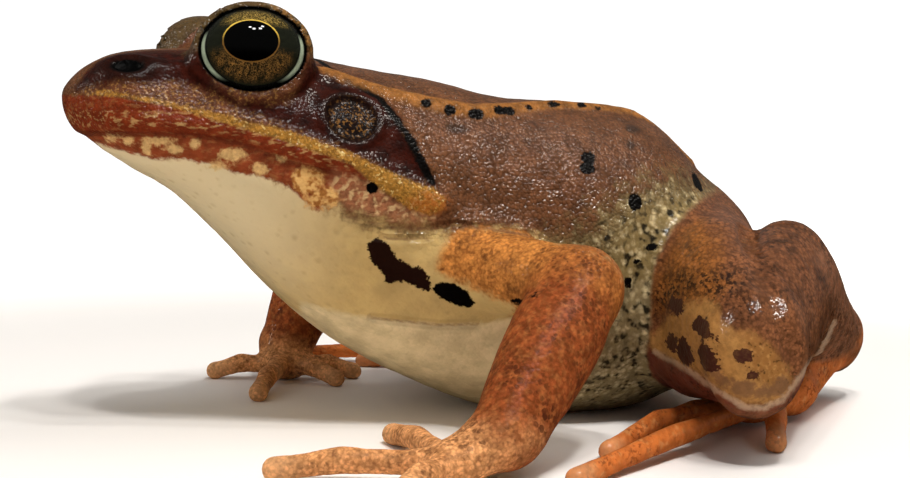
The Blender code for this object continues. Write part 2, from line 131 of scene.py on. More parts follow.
# Raised forms on the trunk, mm: height, half width and route, as y and x on the back or as
# y and z on the side.
BACK_ROUTES = (
    (0.5, 0.55, ((-15.0, 5.3), (-11.5, 6.4), (-7.5, 7.0), (-5.0, 7.0), (-2.5, 6.2), (1.5, 5.3),
                 (8.0, 4.6), (14.0, 3.4))),
    (0.2, 0.5, ((-27.0, 2.9), (-25.0, 3.7), (-23.0, 4.4))),
    (-0.18, 1.3, ((-21.5, 0.0), (-17.5, 0.0))),
    (-0.7, 2.5, ((-1.0, 0.0), (6.0, 0.0), (13.0, 0.0))),
)
SIDE_ROUTES = (
    (0.13, 0.4, ((-28.5, 19.4), (-24.5, 19.35), (-21.3, 18.9), (-18.1, 17.8), (-15.5, 17.2))),
    (0.16, 0.4, ((-24.4, 20.3), (-21.3, 19.7), (-18.6, 19.0), (-16.3, 18.1))),
    (0.62, 0.75, ((-16.3, 17.8), (-13.8, 16.8), (-11.2, 15.5), (-9.3, 14.6))),
    (0.3, 0.95, ((-10.3, 15.1), (-9.4, 14.6))),
    (0.26, 0.5, ((-16.5, 22.6), (-14.2, 22.2), (-12.3, 20.9), (-11.0, 19.0), (-10.0, 17.0))),
    (-0.3, 1.2, ((-25.0, 21.6), (-23.4, 21.4))),
    (-0.16, 0.22, ((-15.0, 13.3), (-11.0, 12.9), (-8.6, 12.7), (-6.0, 13.4))),
    (0.16, 0.4, ((-14.0, 13.9), (-10.0, 13.6), (-7.5, 13.4))),
    (-0.12, 0.2, ((-11.5, 11.9), (-9.0, 11.7), (-7.0, 12.1))),
)
EARDRUM = (-14.4, 19.9)
EARDRUM_RADIUS = 1.85
# Raised rings: height and half width.
EARDRUM_RING = (0.2, 0.32)
EARDRUM_MIDDLE = (0.12, 0.7)
EARDRUM_SINK = 0.12
NOSTRIL_RING = (0.22, 0.3)
NOSTRIL_EDGE = 0.1
NOSTRIL = (3.38, -27.13, 22.77)
NOSTRIL_SIZE = (1.05, 0.85, 0.42)
MOUTH = ((-32.0, 18.75), (-27.1, 18.7), (-24.5, 18.7), (-21.3, 18.25), (-18.1, 17.1), (-15.3, 16.5))
MOUTH_END = MOUTH[-1][0]
LIP_STEP = 0.3  # how far the upper lip stands proud of the lower jaw
MOUTH_DROP = 0.1  # how far below the lip's edge the line of the mouth runs
MOUTH_LINE = (0.12, 0.16)
LIP_FADE = 1.3  # over what height the jaw comes back out below the lip

# The hind limb on the left, mm, mirrored for the right.
THIGH = ((4.6, 14.8, 10.0), (14.5, 8.6, 8.9), (23.3, 4.9, 6.7))
THIGH_RADII = (3.9, 3.9, 3.8, 3.5, 2.9)
THIGH_TALL = 1.3
THIGH_UNDER = ((7.0, 13.0, 5.2), (13.5, 8.2, 5.0), (18.5, 6.6, 5.3))  # the loose flesh under it
THIGH_UNDER_RADII = (3.2, 3.0, 2.4)
THIGH_UNDER_BLEND = 1.5
SHANK = ((23.3, 4.9, 6.7), (16.2, 12.8, 9.6), (6.4, 25.4, 4.7))
SHANK_RADII = (2.8, 3.2, 3.1, 2.5, 2.1)
SHANK_TALL = 1.35
TARSUS = ((6.4, 25.4, 4.7), (12.4, 16.4, 2.0))
TARSUS_RADII = (2.1, 1.8, 1.8)
SOLE_RADII = (1.8, 2.0)
SOLE_TALL = 0.7
TOE_ROOTS = (
    (11.0, 13.2, 1.2),
    (12.0, 12.4, 1.3),
    (13.4, 12.0, 1.4),
    (14.8, 12.2, 1.6),
    (15.4, 13.0, 2.2),
)
TOE_TIPS = (
    (10.8, 9.4, 0.5),
    (12.0, 6.2, 0.5),
    (19.2, -2.3, 0.5),
    (24.9, -7.9, 0.55),
    (21.2, 8.4, 0.58),
)
TOE_RADII = (0.55, 0.56, 0.62, 0.64, 0.68)
TOE_ASIDE = (0.0, 0.0, -1.8, 0.0, 0.0)  # how far each toe's knuckle stands off its line, along X
TOE_ARCH = 0.2
TOE_BLEND = 0.6
WEB = 0.45
WEB_REACH = (0.5, 0.5, 0.3, 0.3)
WEB_BLEND = 0.4

# The fore limbs, mm, each in its own side's coordinates, where X runs away from the body.
SHOULDER = (7.6, -7.2, 10.8)
FORE = {
    "left": {
        "elbow": (17.2, -3.3, 9.9),
        "wrist": (21.5, -10.4, 2.5),
        "palm": (21.5, -13.3, 1.2),
        "tips": ((14.6, -9.6, 0.6), (10.6, -12.4, 0.6), (17.2, -22.2, 0.6), (25.0, -18.4, 0.6)),
    },
    "right": {
        "elbow": (18.0, -6.2, 9.6),
        "wrist": (16.8, -9.8, 2.7),
        "palm": (15.3, -10.6, 1.3),
        "tips": ((13.6, -5.4, 0.6), (10.6, -8.0, 0.6), (6.4, -15.5, 0.6), (17.2, -15.5, 0.6)),
    },
}
UPPER_ARM_RADII = (2.7, 2.55, 2.45, 2.35)
FOREARM_RADII = (2.3, 2.75, 2.5, 2.0)
PALM_RADII = (1.9, 1.8)
PALM_TALL = 0.72
FINGER_RADIUS = 0.7
FINGER_ARCH = 0.35
FINGER_BLEND = 0.7
KNUCKLE = 0.55  # where along a digit its middle knuckle is
DIGIT_GIRTH = (1.15, 0.95, 0.95, 1.05, 0.98, 0.9, 0.98)

# How far the flesh of one length blends into the next, mm.
JOINTS = (
    ("trunk", "upper_arm", 2.2),
    ("upper_arm", "forearm", 1.2),
    ("forearm", "hand", 1.0),
    ("trunk", "thigh", 2.0),
    ("thigh", "shank", 0.8),
    ("shank", "tarsus", 0.8),
    ("tarsus", "foot", 0.8),
)
# Creases of the hind limb, mm: depth, half width and route.
LEG_CREASES = (
    (0.9, 0.5, ((15.0, 10.6, 13.2), (17.66, 8.65, 12.86), (20.9, 6.8, 12.1), (23.82, 5.03, 10.83),
                (26.05, 4.45, 9.01), (26.6, 5.3, 6.4))),
    (0.35, 0.3, ((24.6, 1.9, 5.6), (22.0, 2.6, 4.3), (18.2, 4.0, 4.2))),
)
FLOOR_EDGE = 0.08  # how round the body turns where it meets the floor

# The stage, m. Each lamp: name, share of the power, size and place.
FLOOR_RADIUS = 1.8
BACKDROP_RADIUS = 1.9
LAMPS_LOOK_AT = (0.0, 0.0, 0.012)
LAMP_COLOUR = (1.0, 0.98, 0.95)
GLOSS_COLOUR = (1.0, 0.93, 0.84)
KEY_PLACE = (0.13, -0.03, 0.305)
KEY_SPREAD = 0.042
KEY_SIZE = 0.022
KEY_DOTS = ((-1.3, 1.0), (1.3, 1.0), (-0.6, -1.0), (0.6, -1.0))  # each lamp, across and up
FLOOR_GLOW = (0.045, 0.17)  # where the paper's glow starts, and where it is full
SOFT_LAMPS = (
    ("fill", 1.0, 0.4, (0.12, -0.34, 0.16)),
    ("top", 1.2, 0.2, (0.02, 0.13, 0.28)),
    ("rear", 0.5, 0.5, (-0.22, 0.24, 0.26)),
)
# These stand where the moist flank and elbow, and the knee, mirror them.
GLOSS_LAMPS = (
    ("gloss_flank", 1.0, 0.05, (0.112, 0.108, 0.276)),
    ("gloss_knee", 0.4, 0.04, (-0.09, -0.22, 0.15)),
)

FAR = 6.0  # stands for the distance to a form that is too far off to matter

# The skin's mesh, mm: the side of its cells, shorter at the head and down at the digits.
CELL = 0.34
FINE_CELL = 0.23
HEAD_END = -8.5
HEAD_FLOOR = 13.5
DIGIT_TOP = 2.0
GRID_MARGIN = 1.8
BLOCK = 4  # cells along a block that is looked at coarsely first
SKIN_ROUNDS = ((3, 3), (2, 2))  # rounds of smoothing, then of drawing back onto the form
LUMP_SIZE = 1.3
LUMP_HEIGHT = 0.09

# Markings of the left side in the photograph's pixels: closed outlines, spots as centre and half
# sizes, and lines.
OUTLINES = {
    "head_side": (
        (40, 104), (100, 92), (160, 100), (210, 112), (256, 124), (295, 138), (333, 150), (371, 166),
        (410, 182), (434, 187), (424, 160), (404, 126), (386, 100), (371, 84), (344, 74), (316, 57),
        (290, 40), (210, 30), (160, 44), (110, 48), (70, 60), (40, 80),
    ),
    "mask": (
        (50, 86), (85, 62), (112, 48), (160, 48), (200, 50), (215, 82), (240, 100), (290, 102), (308, 62),
        (318, 56), (344, 75), (371, 84), (385, 100), (404, 126), (420, 155), (434, 187), (410, 182),
        (371, 163), (333, 147), (300, 132), (272, 121), (245, 113), (222, 100), (200, 88), (175, 82),
        (150, 84), (125, 80), (95, 88), (70, 92),
    ),
    "stripe": (
        (84, 91), (110, 91), (140, 96), (160, 99), (185, 106), (210, 111), (240, 119), (270, 126),
        (300, 134), (333, 146), (352, 153), (371, 162), (392, 172), (412, 181), (434, 188), (446, 197),
        (445, 208), (429, 216), (410, 209), (390, 196), (371, 183), (352, 165), (333, 158), (300, 147),
        (270, 137), (240, 128), (210, 119), (185, 112), (160, 104), (140, 101), (110, 96), (84, 95),
    ),
    "lip": (
        (50, 96), (84, 95), (110, 96), (140, 101), (185, 110), (210, 118), (240, 127), (270, 136),
        (300, 146), (333, 157), (352, 165), (372, 183), (345, 173), (322, 171), (295, 163), (266, 151),
        (237, 142), (180, 134), (130, 133), (40, 132),
    ),
    "jaw": (
        (40, 124), (130, 125), (180, 126), (237, 134), (266, 143), (295, 155), (322, 163), (345, 167),
        (358, 176), (352, 188), (336, 194), (318, 212), (300, 197), (283, 184), (260, 177), (237, 173),
        (212, 164), (185, 160), (150, 158), (120, 150), (80, 138),
    ),
    "cheek": (
        (336, 172), (372, 184), (392, 199), (412, 211), (436, 218), (420, 224), (392, 220), (366, 212),
        (345, 205), (326, 198),
    ),
    "brown": (
        (20, 100), (100, 116), (200, 140), (300, 182), (345, 214), (400, 226), (455, 232), (520, 236),
        (570, 248), (600, 262), (616, 232), (636, 212), (664, 200), (700, 196), (760, 200), (860, 240),
        (860, -60), (20, -60),
    ),
    "mottle": (
        (560, 258), (596, 240), (616, 226), (640, 206), (672, 194), (705, 200), (718, 240), (716, 330),
        (708, 396), (600, 402), (560, 402), (596, 350), (610, 300),
    ),
    "upper_arm": (
        (418, 262), (430, 244), (452, 233), (480, 228), (520, 230), (560, 240), (600, 256), (640, 300),
        (640, 420), (480, 420), (500, 345), (516, 306), (492, 297), (468, 285), (446, 276),
    ),
    "chest_ink": (
        (368, 244), (375, 238), (389, 243), (396, 256), (408, 264), (424, 270), (433, 284), (430, 291),
        (419, 290), (408, 283), (396, 281), (386, 282), (383, 275), (371, 262),
    ),
    "arm_ink": (
        (431, 287), (440, 282), (454, 284), (466, 290), (475, 303), (470, 308), (458, 306), (440, 298),
    ),
    "thigh_patch": (
        (665, 320), (676, 311), (690, 303), (704, 300), (716, 306), (722, 320), (730, 328), (744, 330),
        (758, 338), (774, 352), (788, 370), (795, 384), (788, 396), (770, 404), (750, 405), (735, 400),
        (717, 389), (690, 368), (655, 352), (650, 335),
    ),
    "thigh_front": (
        (680, 236), (698, 222), (714, 230), (722, 250), (722, 268), (734, 282), (716, 300), (676, 308),
        (655, 312), (650, 290), (668, 262),
    ),
    "speckled": (
        (650, 296), (664, 280), (684, 272), (706, 270), (728, 266), (744, 270), (756, 284), (764, 304),
        (752, 322), (736, 318), (720, 304), (700, 292), (684, 296), (668, 306), (652, 318),
    ),
    "knee_brown": (
        (738, 330), (760, 336), (776, 350), (790, 372), (792, 388), (776, 392), (760, 380), (748, 366),
        (744, 346),
    ),
    "belly_low": (
        (300, 302), (340, 312), (372, 318), (400, 321), (440, 325), (478, 324), (520, 318), (560, 300),
        (620, 280), (720, 280), (720, 430), (300, 430),
    ),
    "underside": (
        (630, 340), (664, 358), (688, 371), (717, 391), (744, 407), (766, 409), (784, 400), (800, 377),
        (820, 358), (836, 324), (834, 300), (824, 272), (812, 254), (860, 240), (930, 300), (930, 460),
        (600, 460),
    ),
}
SPOTS = {
    "fold_ink": (
        (426, 103, 6, 5), (450, 110, 6, 6), (476, 114, 8, 6), (500, 110, 7, 5), (509, 111, 7, 5),
        (529, 107, 4, 3.5), (554, 104, 7, 4), (582, 105, 5, 4), (598, 108, 3, 3),
    ),
    "ink": (
        (372, 188, 6, 6), (588, 158, 8, 7), (587, 168, 8, 7), (635, 202, 7, 9.5), (697, 182, 7, 12),
        (519, 302, 8, 3.5), (535, 295, 4, 2.5), (628, 283, 4, 7), (637, 262, 5, 3.5), (652, 247, 7, 4),
    ),
    "grey": ((456, 129, 12, 5), (631, 145, 5, 5), (633, 129, 8, 5), (533, 123, 4, 2)),
    "cream": (
        (235, 155, 13, 6), (196, 144, 6, 5), (174, 150, 8, 4), (156, 141, 14, 4), (146, 147, 5, 6),
        (128, 141, 5, 4), (110, 138, 7, 3), (218, 166, 10, 3), (260, 170, 8, 6), (282, 160, 3, 2),
    ),
    "gold": ((307, 180, 15, 13), (325, 198, 14, 10), (312, 203, 7, 5)),
    "drum_gold": ((352, 118, 22, 22),),
    "thigh_ink": (
        (675, 306, 6, 10), (700, 325, 8, 9), (706, 333, 5, 5), (672, 342, 8, 9), (684, 353, 10, 14),
        (704, 352, 11, 8), (708, 364, 12, 9), (718, 340, 3, 4), (744, 356, 9, 7), (752, 374, 6, 5),
    ),
    "wrinkled": ((520, 168, 60, 42),),
    "gland": ((430, 203, 20, 11),),
    "flecked": (
        (514, 372, 13, 22), (572, 262, 32, 13), (603, 340, 8, 34), (500, 330, 5, 16), (545, 420, 16, 24),
        (580, 300, 18, 12), (470, 440, 24, 12), (555, 330, 14, 12),
    ),
    "thigh_shade": (
        (724, 380, 12, 7), (742, 389, 13, 8), (764, 391, 14, 7), (782, 386, 11, 9), (714, 372, 9, 7),
    ),
}
MASK_EDGE = ((315, 59), (340, 76), (362, 87), (380, 98), (392, 114), (408, 136), (420, 158), (431, 181))
LEG_LINE = (
    (655, 352), (688, 370), (717, 391), (744, 407), (764, 408), (783, 400), (799, 378), (820, 352),
    (835, 322),
)
# Creases, which sink into the skin and are darkened with painted shade.
CREASES = (
    ((345, 216), (370, 222), (400, 229), (430, 229), (455, 225), (490, 229), (530, 236)),
    ((372, 236), (400, 240), (430, 237)),
    ((372, 318), (400, 321), (440, 325), (478, 324)),
)

# More of the markings, mm. The back's brown goes on behind this y and above this z.
RUMP_BROWN = (14.0, 5.0)
SPOT_DEPTH = 1.6  # how far along the line of sight a spot reaches
STRAY = 0.2  # how far the sides of cells stray, over lumps of this size
STRAY_SIZE = 0.5
LEG_WAY = -26.0  # the thigh's turn out from the X axis, degrees
LEG_STRETCH = 2.2  # how much longer than wide its flecks are
HEAD_TOP = (1.5, 4.2)  # half width of the brown on the head's top, at the snout and the eyes
THROAT_END = -17.0
# Half widths of lines.
CREASE_WIDTH = 0.1
LEG_LINE_WIDTH = 0.22
MASK_EDGE_WIDTH = 0.3
FOLD_WIDTH = 0.75
LINE_DEPTH = 1.0  # how far from the leg's line in space its colour reaches
# How dry parts of the skin are: they take this share of the wet coat away.
DRY_PARTS = (
    ("fore", 0.85), ("ink", 0.8), ("fold_ink", 0.8), ("mask_edge", 0.8), ("chest_ink", 0.7),
    ("arm_ink", 0.7), ("mask", 0.65), ("drum", 0.85), ("fold", 0.6),
)

# The camera, as it stood for the photograph: what it looks at and how far off it is, mm.
CAMERA_TARGET = (35.435, -20.517, 14.143)
CAMERA_DISTANCE = 59.067
CAMERA_AZIMUTH = 64.048
CAMERA_ELEVATION = 3.355
CAMERA_ROLL = 1.058
CAMERA_SENSOR = 36.0
CAMERA_LENS = 55.385


def array(values):
    return np.asarray(values, float)


def unit(vector):
    return array(vector) / np.linalg.norm(vector)


def length_of(vectors):
    return np.sqrt((vectors**2).sum(axis=-1))


def linear(hex_colour):
    """A linear RGB colour from an sRGB hex one."""
    channels = [int(hex_colour[n : n + 2], 16) / 255 for n in (0, 2, 4)]
    return [c / 12.92 if c < 0.04045 else ((c + 0.055) / 1.055) ** 2.4 for c in channels]


def smooth_curve(knots, values, at):
    """A smooth curve through the values, level at each high and low point."""
    knots = array(knots)
    values = array(values)
    steps = np.diff(knots)
    slopes = np.diff(values) / steps
    tangents = np.concatenate([slopes[:1], (slopes[1:] + slopes[:-1]) / 2, slopes[-1:]])
    turns = np.concatenate([[False], slopes[1:] * slopes[:-1] <= 0, [False]])
    tangents = np.where(turns, 0.0, tangents)
    at = np.clip(at, knots[0], knots[-1])
    place = np.clip(np.searchsorted(knots, at, side="right") - 1, 0, len(steps) - 1)
    t = (at - knots[place]) / steps[place]
    rise = values[place + 1] - values[place]
    start = tangents[place] * steps[place]
    end = tangents[place + 1] * steps[place]
    return values[place] + t * (start + t * (3 * rise - 2 * start - end + t * (start + end - 2 * rise)))


def smooth_min(first, second, reach):
    """The union of two distances, with a fillet of about this reach."""
    mix = np.clip(0.5 + 0.5 * (second - first) / reach, 0.0, 1.0)
    return second + (first - second) * mix - reach * mix * (1.0 - mix)


def smooth_max(first, second, reach):
    return -smooth_min(-first, -second, reach)


def ease(values, low, high):
    """0 below low, 1 above high, and an even S-curve between."""
    t = np.clip((values - low) / (high - low), 0.0, 1.0)
    return t * t * (3 - 2 * t)


def fold_left(points):
    """The same places on the left side."""
    return np.concatenate([np.abs(points[:, :1]), points[:, 1:]], axis=1)


def section(y):
    """Half width, top, bottom, widest level and squareness of the trunk at each y."""
    columns = array(TRUNK).T
    return [smooth_curve(columns[0], column, y) for column in columns[1:]]


def trunk_form(points):
    """Distance to the head and trunk before the eyes and the raised forms."""
    x, y, z = points.T
    width, top, bottom, level, power = section(y)
    height = np.where(z > level, top - level, level - bottom)
    snout = np.clip((SNOUT_CAP[0] - y) / SNOUT_CAP[1], 0.0, None)
    rump = np.clip((y - RUMP_CAP[0]) / RUMP_CAP[1], 0.0, None)
    end = np.maximum(snout**SNOUT_BLUNT, rump**power)
    past = np.maximum(snout * SNOUT_CAP[1], rump * RUMP_CAP[1])
    ratio = (np.abs(x) / width) ** power + (np.abs(z - level) / height) ** power + end
    ratio = np.maximum(ratio, 1e-6) ** (1.0 / power)
    size = np.sqrt(x**2 + (z - level) ** 2 + past**2)
    return size * (1.0 - 1.0 / ratio)


def on_back(y, x):
    """The point on the back at this y and x."""
    width, top, _, level, power = section(array([y]))
    rest = 1.0 - (abs(x) / width[0]) ** power[0]
    return (x, y, level[0] + (top[0] - level[0]) * max(rest, 0.0) ** (1.0 / power[0]))


def on_side(y, z):
    """The point on the left side at this y and z."""
    width, top, bottom, level, power = section(array([y]))
    height = top[0] - level[0] if z > level[0] else level[0] - bottom[0]
    rest = 1.0 - (abs(z - level[0]) / height) ** power[0]
    return (width[0] * max(rest, 0.0) ** (1.0 / power[0]), y, z)


def limb_form(points, route, radii, tall=1.0):
    """Distance to a limb along a route, with radii at even steps, stretched upright by tall."""
    route = array(route)
    lengths = length_of(route[1:] - route[:-1])
    ends = np.concatenate([[0.0], np.cumsum(lengths)]) / lengths.sum()
    nearest = np.full(len(points), np.inf)
    for number, start in enumerate(route[:-1]):
        axis = route[number + 1] - start
        offset = points - start
        t = np.clip(offset @ axis / (axis @ axis), 0.0, 1.0)
        place = ends[number] + t * (ends[number + 1] - ends[number])
        radius = smooth_curve(np.linspace(0.0, 1.0, len(radii)), radii, place)
        across = offset - np.outer(t, axis)
        across[:, 2] /= tall
        nearest = np.minimum(nearest, length_of(across) - radius)
    return nearest


def where_near(points, route, form, margin=FAR + 2.0, far=FAR):
    """A form's distance at the points in a box round its route, and far at the others."""
    low = array(route).min(axis=0) - margin
    high = array(route).max(axis=0) + margin
    near = ((points > low) & (points < high)).all(axis=1)
    distance = np.full(len(points), far)
    if near.any():
        distance[near] = form(points[near])
    return distance


def route_distance(points, route, reach):
    """Distance to a route of points, or a little over its reach where it is farther."""
    return where_near(points, route, lambda near: limb_form(near, route, (0.0, 0.0)), reach, reach * 2.0)


def swell(distance, height, half_width):
    """A round swelling of this height, gone at about twice the half width."""
    return height * np.exp(-((distance / half_width) ** 2))


def relief(points):
    """How far the forms on the trunk stand proud of it; points are on the left side."""
    height = np.zeros(len(points))
    for place_on, routes in ((on_back, BACK_ROUTES), (on_side, SIDE_ROUTES)):
        for rise, half_width, route in routes:
            near = route_distance(points, [place_on(*place) for place in route], half_width * 3)
            height += swell(near, rise, half_width)
    from_ear = length_of(points - array(on_side(*EARDRUM)))
    height += swell(from_ear - EARDRUM_RADIUS, *EARDRUM_RING) + swell(from_ear, *EARDRUM_MIDDLE)
    height -= EARDRUM_SINK * (1.0 - ease(from_ear, EARDRUM_RADIUS * 0.7, EARDRUM_RADIUS))
    height += swell(nostril_form(points) - 0.25, *NOSTRIL_RING)
    return height + lip_relief(points)


def nostril_form(points):
    """Distance to the pit of the left nostril."""
    ratio = length_of((points - array(NOSTRIL)) / array(NOSTRIL_SIZE))
    return (ratio - 1.0) * min(NOSTRIL_SIZE)


def above_mouth(points):
    """Height above the line of the closed mouth."""
    mouth_y, mouth_z = array(MOUTH).T
    return points[:, 2] - smooth_curve(mouth_y, mouth_z, points[:, 1])


def lip_relief(points):
    """The step from the upper lip down to the lower jaw, and the line of the closed mouth."""
    above = above_mouth(points)
    along = 1.0 - ease(points[:, 1], MOUTH_END - 1.2, MOUTH_END + 0.6)
    step = ease(-above, 0.0, 0.3) * np.exp(-((np.minimum(above, 0.0) / LIP_FADE) ** 2))
    return -along * (LIP_STEP * step + swell(above + MOUTH_DROP, *MOUTH_LINE))


def eye_axes():
    """The left eye's directions: forward, upward and outward."""
    outward = unit(EYE_FACING)
    forward = unit(np.cross(outward, (0.0, 0.0, 1.0)))
    return np.stack([forward, np.cross(forward, outward), outward])


def eye_form(points, grown):
    """Distance to the eyeball, made larger all round by this much."""
    offsets = (points - array(EYE_CENTRE)) @ eye_axes().T
    ratio = np.maximum(length_of(offsets / (array(EYE_SIZE) + grown)), 1e-6)
    return length_of(offsets) * (1.0 - 1.0 / ratio)


def round_eye(points):
    """How far outside the lids' opening points lie, as a share of its size, and their offsets."""
    forward, upward, outward = eye_axes() @ (points - array(EYE_CENTRE)).T
    around = np.hypot(forward / EYE_OPENING[0], upward / EYE_OPENING[1]) - 1.0
    return around, forward, upward, outward


def eye_window(points):
    """Distance to the almond space between the lids, which runs outward from the eyeball."""
    around, _, _, outward = round_eye(points)
    return np.maximum(around * EYE_OPENING[1], -outward)


def lid_relief(points):
    """The rolled upper lid, and the wet pleat under the lower one."""
    around, _, upward, outward = round_eye(points)
    upper = ease(upward, -0.6, 1.4)
    front = ease(outward, -1.6, -0.2)
    roll, pleat = (
        sum(swell(around - place, height, half_width) for place, height, half_width in rings)
        for rings in (LID_ROLL, LID_PLEAT)
    )
    return front * (upper * roll + (1 - upper) * pleat)


def trunk(points, fine):
    """Distance to the head and trunk with their folds, glands, eardrums and lids."""
    folded = fold_left(points)
    orbit = eye_form(folded, LID)
    body = smooth_min(trunk_form(folded), orbit, ORBIT_BLEND)
    if fine:
        body = body - relief(folded)
        near_eye = np.abs(orbit) < 1.8
        body[near_eye] -= lid_relief(folded[near_eye])
        body = smooth_max(body, -nostril_form(folded), NOSTRIL_EDGE)
    opening = np.maximum(eye_window(folded), -eye_form(folded, -EYE_SEAT))
    return smooth_max(body, -opening, LID_ROUND)


def digit_form(points, root, tip, radius, arch, aside=0.0):
    """A finger or toe: two lengths that meet at a raised knuckle."""
    root = array(root)
    tip = array(tip)
    knuckle = root * (1 - KNUCKLE) + tip * KNUCKLE + array((aside, 0.0, arch))
    return limb_form(points, (root, knuckle, tip), radius * array(DIGIT_GIRTH))


def web_form(points, corner, first, second):
    """The skin between two toes, from the corner between their roots to a hollow edge."""
    corner = array(corner)
    sides = np.stack([array(first) - corner, array(second) - corner])
    normal = unit(np.cross(*sides))
    offset = points - corner
    along = offset @ np.linalg.pinv(sides)
    size = length_of(sides).min() * 0.6
    hollow = along.sum(axis=1) + 1.2 * np.clip(along, 0.0, 1.0).prod(axis=1) - 1.0
    outside = np.maximum(-along.min(axis=1), hollow) * size
    return np.maximum(outside, np.abs(offset @ normal) - WEB / 2)


def hand_form(points, joints):
    palm = limb_form(points, (joints["wrist"], joints["palm"]), PALM_RADII, PALM_TALL)
    for tip in joints["tips"]:
        root = array(joints["palm"]) * 0.8 + array(tip) * 0.2
        finger = digit_form(points, root, tip, FINGER_RADIUS, FINGER_ARCH)
        palm = smooth_min(palm, finger, FINGER_BLEND)
    return palm


def toe_place(number, reach):
    """The place this far along a toe, from 0 at its root to 1 at its tip."""
    place = array(TOE_ROOTS[number]) * (1 - reach) + array(TOE_TIPS[number]) * reach
    place[0] += TOE_ASIDE[number] * min(reach / KNUCKLE, (1 - reach) / (1 - KNUCKLE))
    return place


def foot_form(points):
    ball = array(TOE_ROOTS).mean(axis=0)
    sole = limb_form(points, (TARSUS[-1], ball), SOLE_RADII, SOLE_TALL)
    for root, tip, radius, aside in zip(TOE_ROOTS, TOE_TIPS, TOE_RADII, TOE_ASIDE):
        sole = smooth_min(sole, digit_form(points, root, tip, radius, TOE_ARCH, aside), TOE_BLEND)
    for number, reach in enumerate(WEB_REACH):
        pair = (number, number + 1)
        corner = array([TOE_ROOTS[n] for n in pair]).mean(axis=0)
        edge = [toe_place(n, reach) for n in pair]
        sole = smooth_min(sole, web_form(points, corner, *edge), WEB_BLEND)
    return sole


def limb_forms(points, side):
    """Distances to the lengths of one side's limbs, in that side's own coordinates."""
    joints = FORE[side]
    lengths = {
        "upper_arm": ((SHOULDER, joints["elbow"]), UPPER_ARM_RADII, 1.0),
        "forearm": ((joints["elbow"], joints["wrist"]), FOREARM_RADII, 1.0),
        "thigh": (THIGH, THIGH_RADII, THIGH_TALL),
        "thigh_under": (THIGH_UNDER, THIGH_UNDER_RADII, 1.0),
        "shank": (SHANK, SHANK_RADII, SHANK_TALL),
        "tarsus": (TARSUS, TARSUS_RADII, 1.0),
    }
    found = {}
    for name, (route, radii, tall) in lengths.items():
        found[name] = where_near(points, route, lambda near: limb_form(near, route, radii, tall))
    found["thigh"] = smooth_min(found["thigh"], found.pop("thigh_under"), THIGH_UNDER_BLEND)
    hand = (joints["wrist"], joints["palm"]) + joints["tips"]
    found["hand"] = where_near(points, hand, lambda near: hand_form(near, joints))
    found["foot"] = where_near(points, TARSUS[-1:] + TOE_ROOTS + TOE_TIPS, foot_form)
    return found


def forms(points, fine):
    """Distances to every length of the body, by name."""
    found = {"trunk": trunk(points, fine)}
    mirrored = points * array((-1.0, 1.0, 1.0))
    for side, place in (("left", points), ("right", mirrored)):
        for name, distance in limb_forms(place, side).items():
            found[name + "_" + side] = distance
    return found


def whole_skin(points, fine=True):
    """Distance to the whole frog, flat where it meets the floor."""
    found = forms(points, fine)
    body = np.min(np.stack(list(found.values())), axis=0)
    for side in ("_left", "_right"):
        for first, second, reach in JOINTS:
            near = found[first if first == "trunk" else first + side]
            body = np.minimum(body, smooth_min(near, found[second + side], reach))
    if fine:
        folded = fold_left(points)
        for depth, half_width, route in LEG_CREASES:
            body += swell(route_distance(folded, route, half_width * 3), depth, half_width)
    return smooth_max(body, -points[:, 2], FLOOR_EDGE)


def grid_axes():
    """Places of the grid's corners across, along and upward."""
    low, high = (array(corner) / MM for corner in CAD_BOX)
    low = low - GRID_MARGIN
    high = high + GRID_MARGIN + BLOCK * CELL
    along = [low[1]]
    while along[-1] < high[1]:
        along.append(along[-1] + (FINE_CELL if along[-1] < HEAD_END else CELL))
    upward = [low[2]]
    while upward[-1] < high[2]:
        upward.append(upward[-1] + (CELL if DIGIT_TOP < upward[-1] < HEAD_FLOOR else FINE_CELL))
    axes = [np.arange(low[0], high[0], CELL), array(along), array(upward)]
    return [axis[: len(axis) // BLOCK * BLOCK] for axis in axes]


def sample_form(axes):
    """The skin's distance at the grid's corners, worked out only in blocks near the skin."""
    counts = [len(axis) // BLOCK for axis in axes]
    centres = [axis.reshape(-1, BLOCK).mean(axis=1) for axis in axes]
    blocks = np.stack(np.meshgrid(*[np.arange(n) for n in counts], indexing="ij"), -1).reshape(-1, 3)
    middle = np.stack([centre[blocks[:, n]] for n, centre in enumerate(centres)], axis=1)
    rough = whole_skin(middle, fine=False)
    values = rough.reshape(counts)
    for axis in range(3):
        values = values.repeat(BLOCK, axis)
    near = blocks[np.abs(rough) < BLOCK * CELL * 1.3]
    steps = np.stack(np.meshgrid(*[np.arange(BLOCK)] * 3, indexing="ij"), -1).reshape(-1, 3)
    corners = (near[:, None] * BLOCK + steps).reshape(-1, 3)
    places = np.stack([axis[corners[:, n]] for n, axis in enumerate(axes)], axis=1)
    values[tuple(corners.T)] = whole_skin(places, fine=False)
    return values


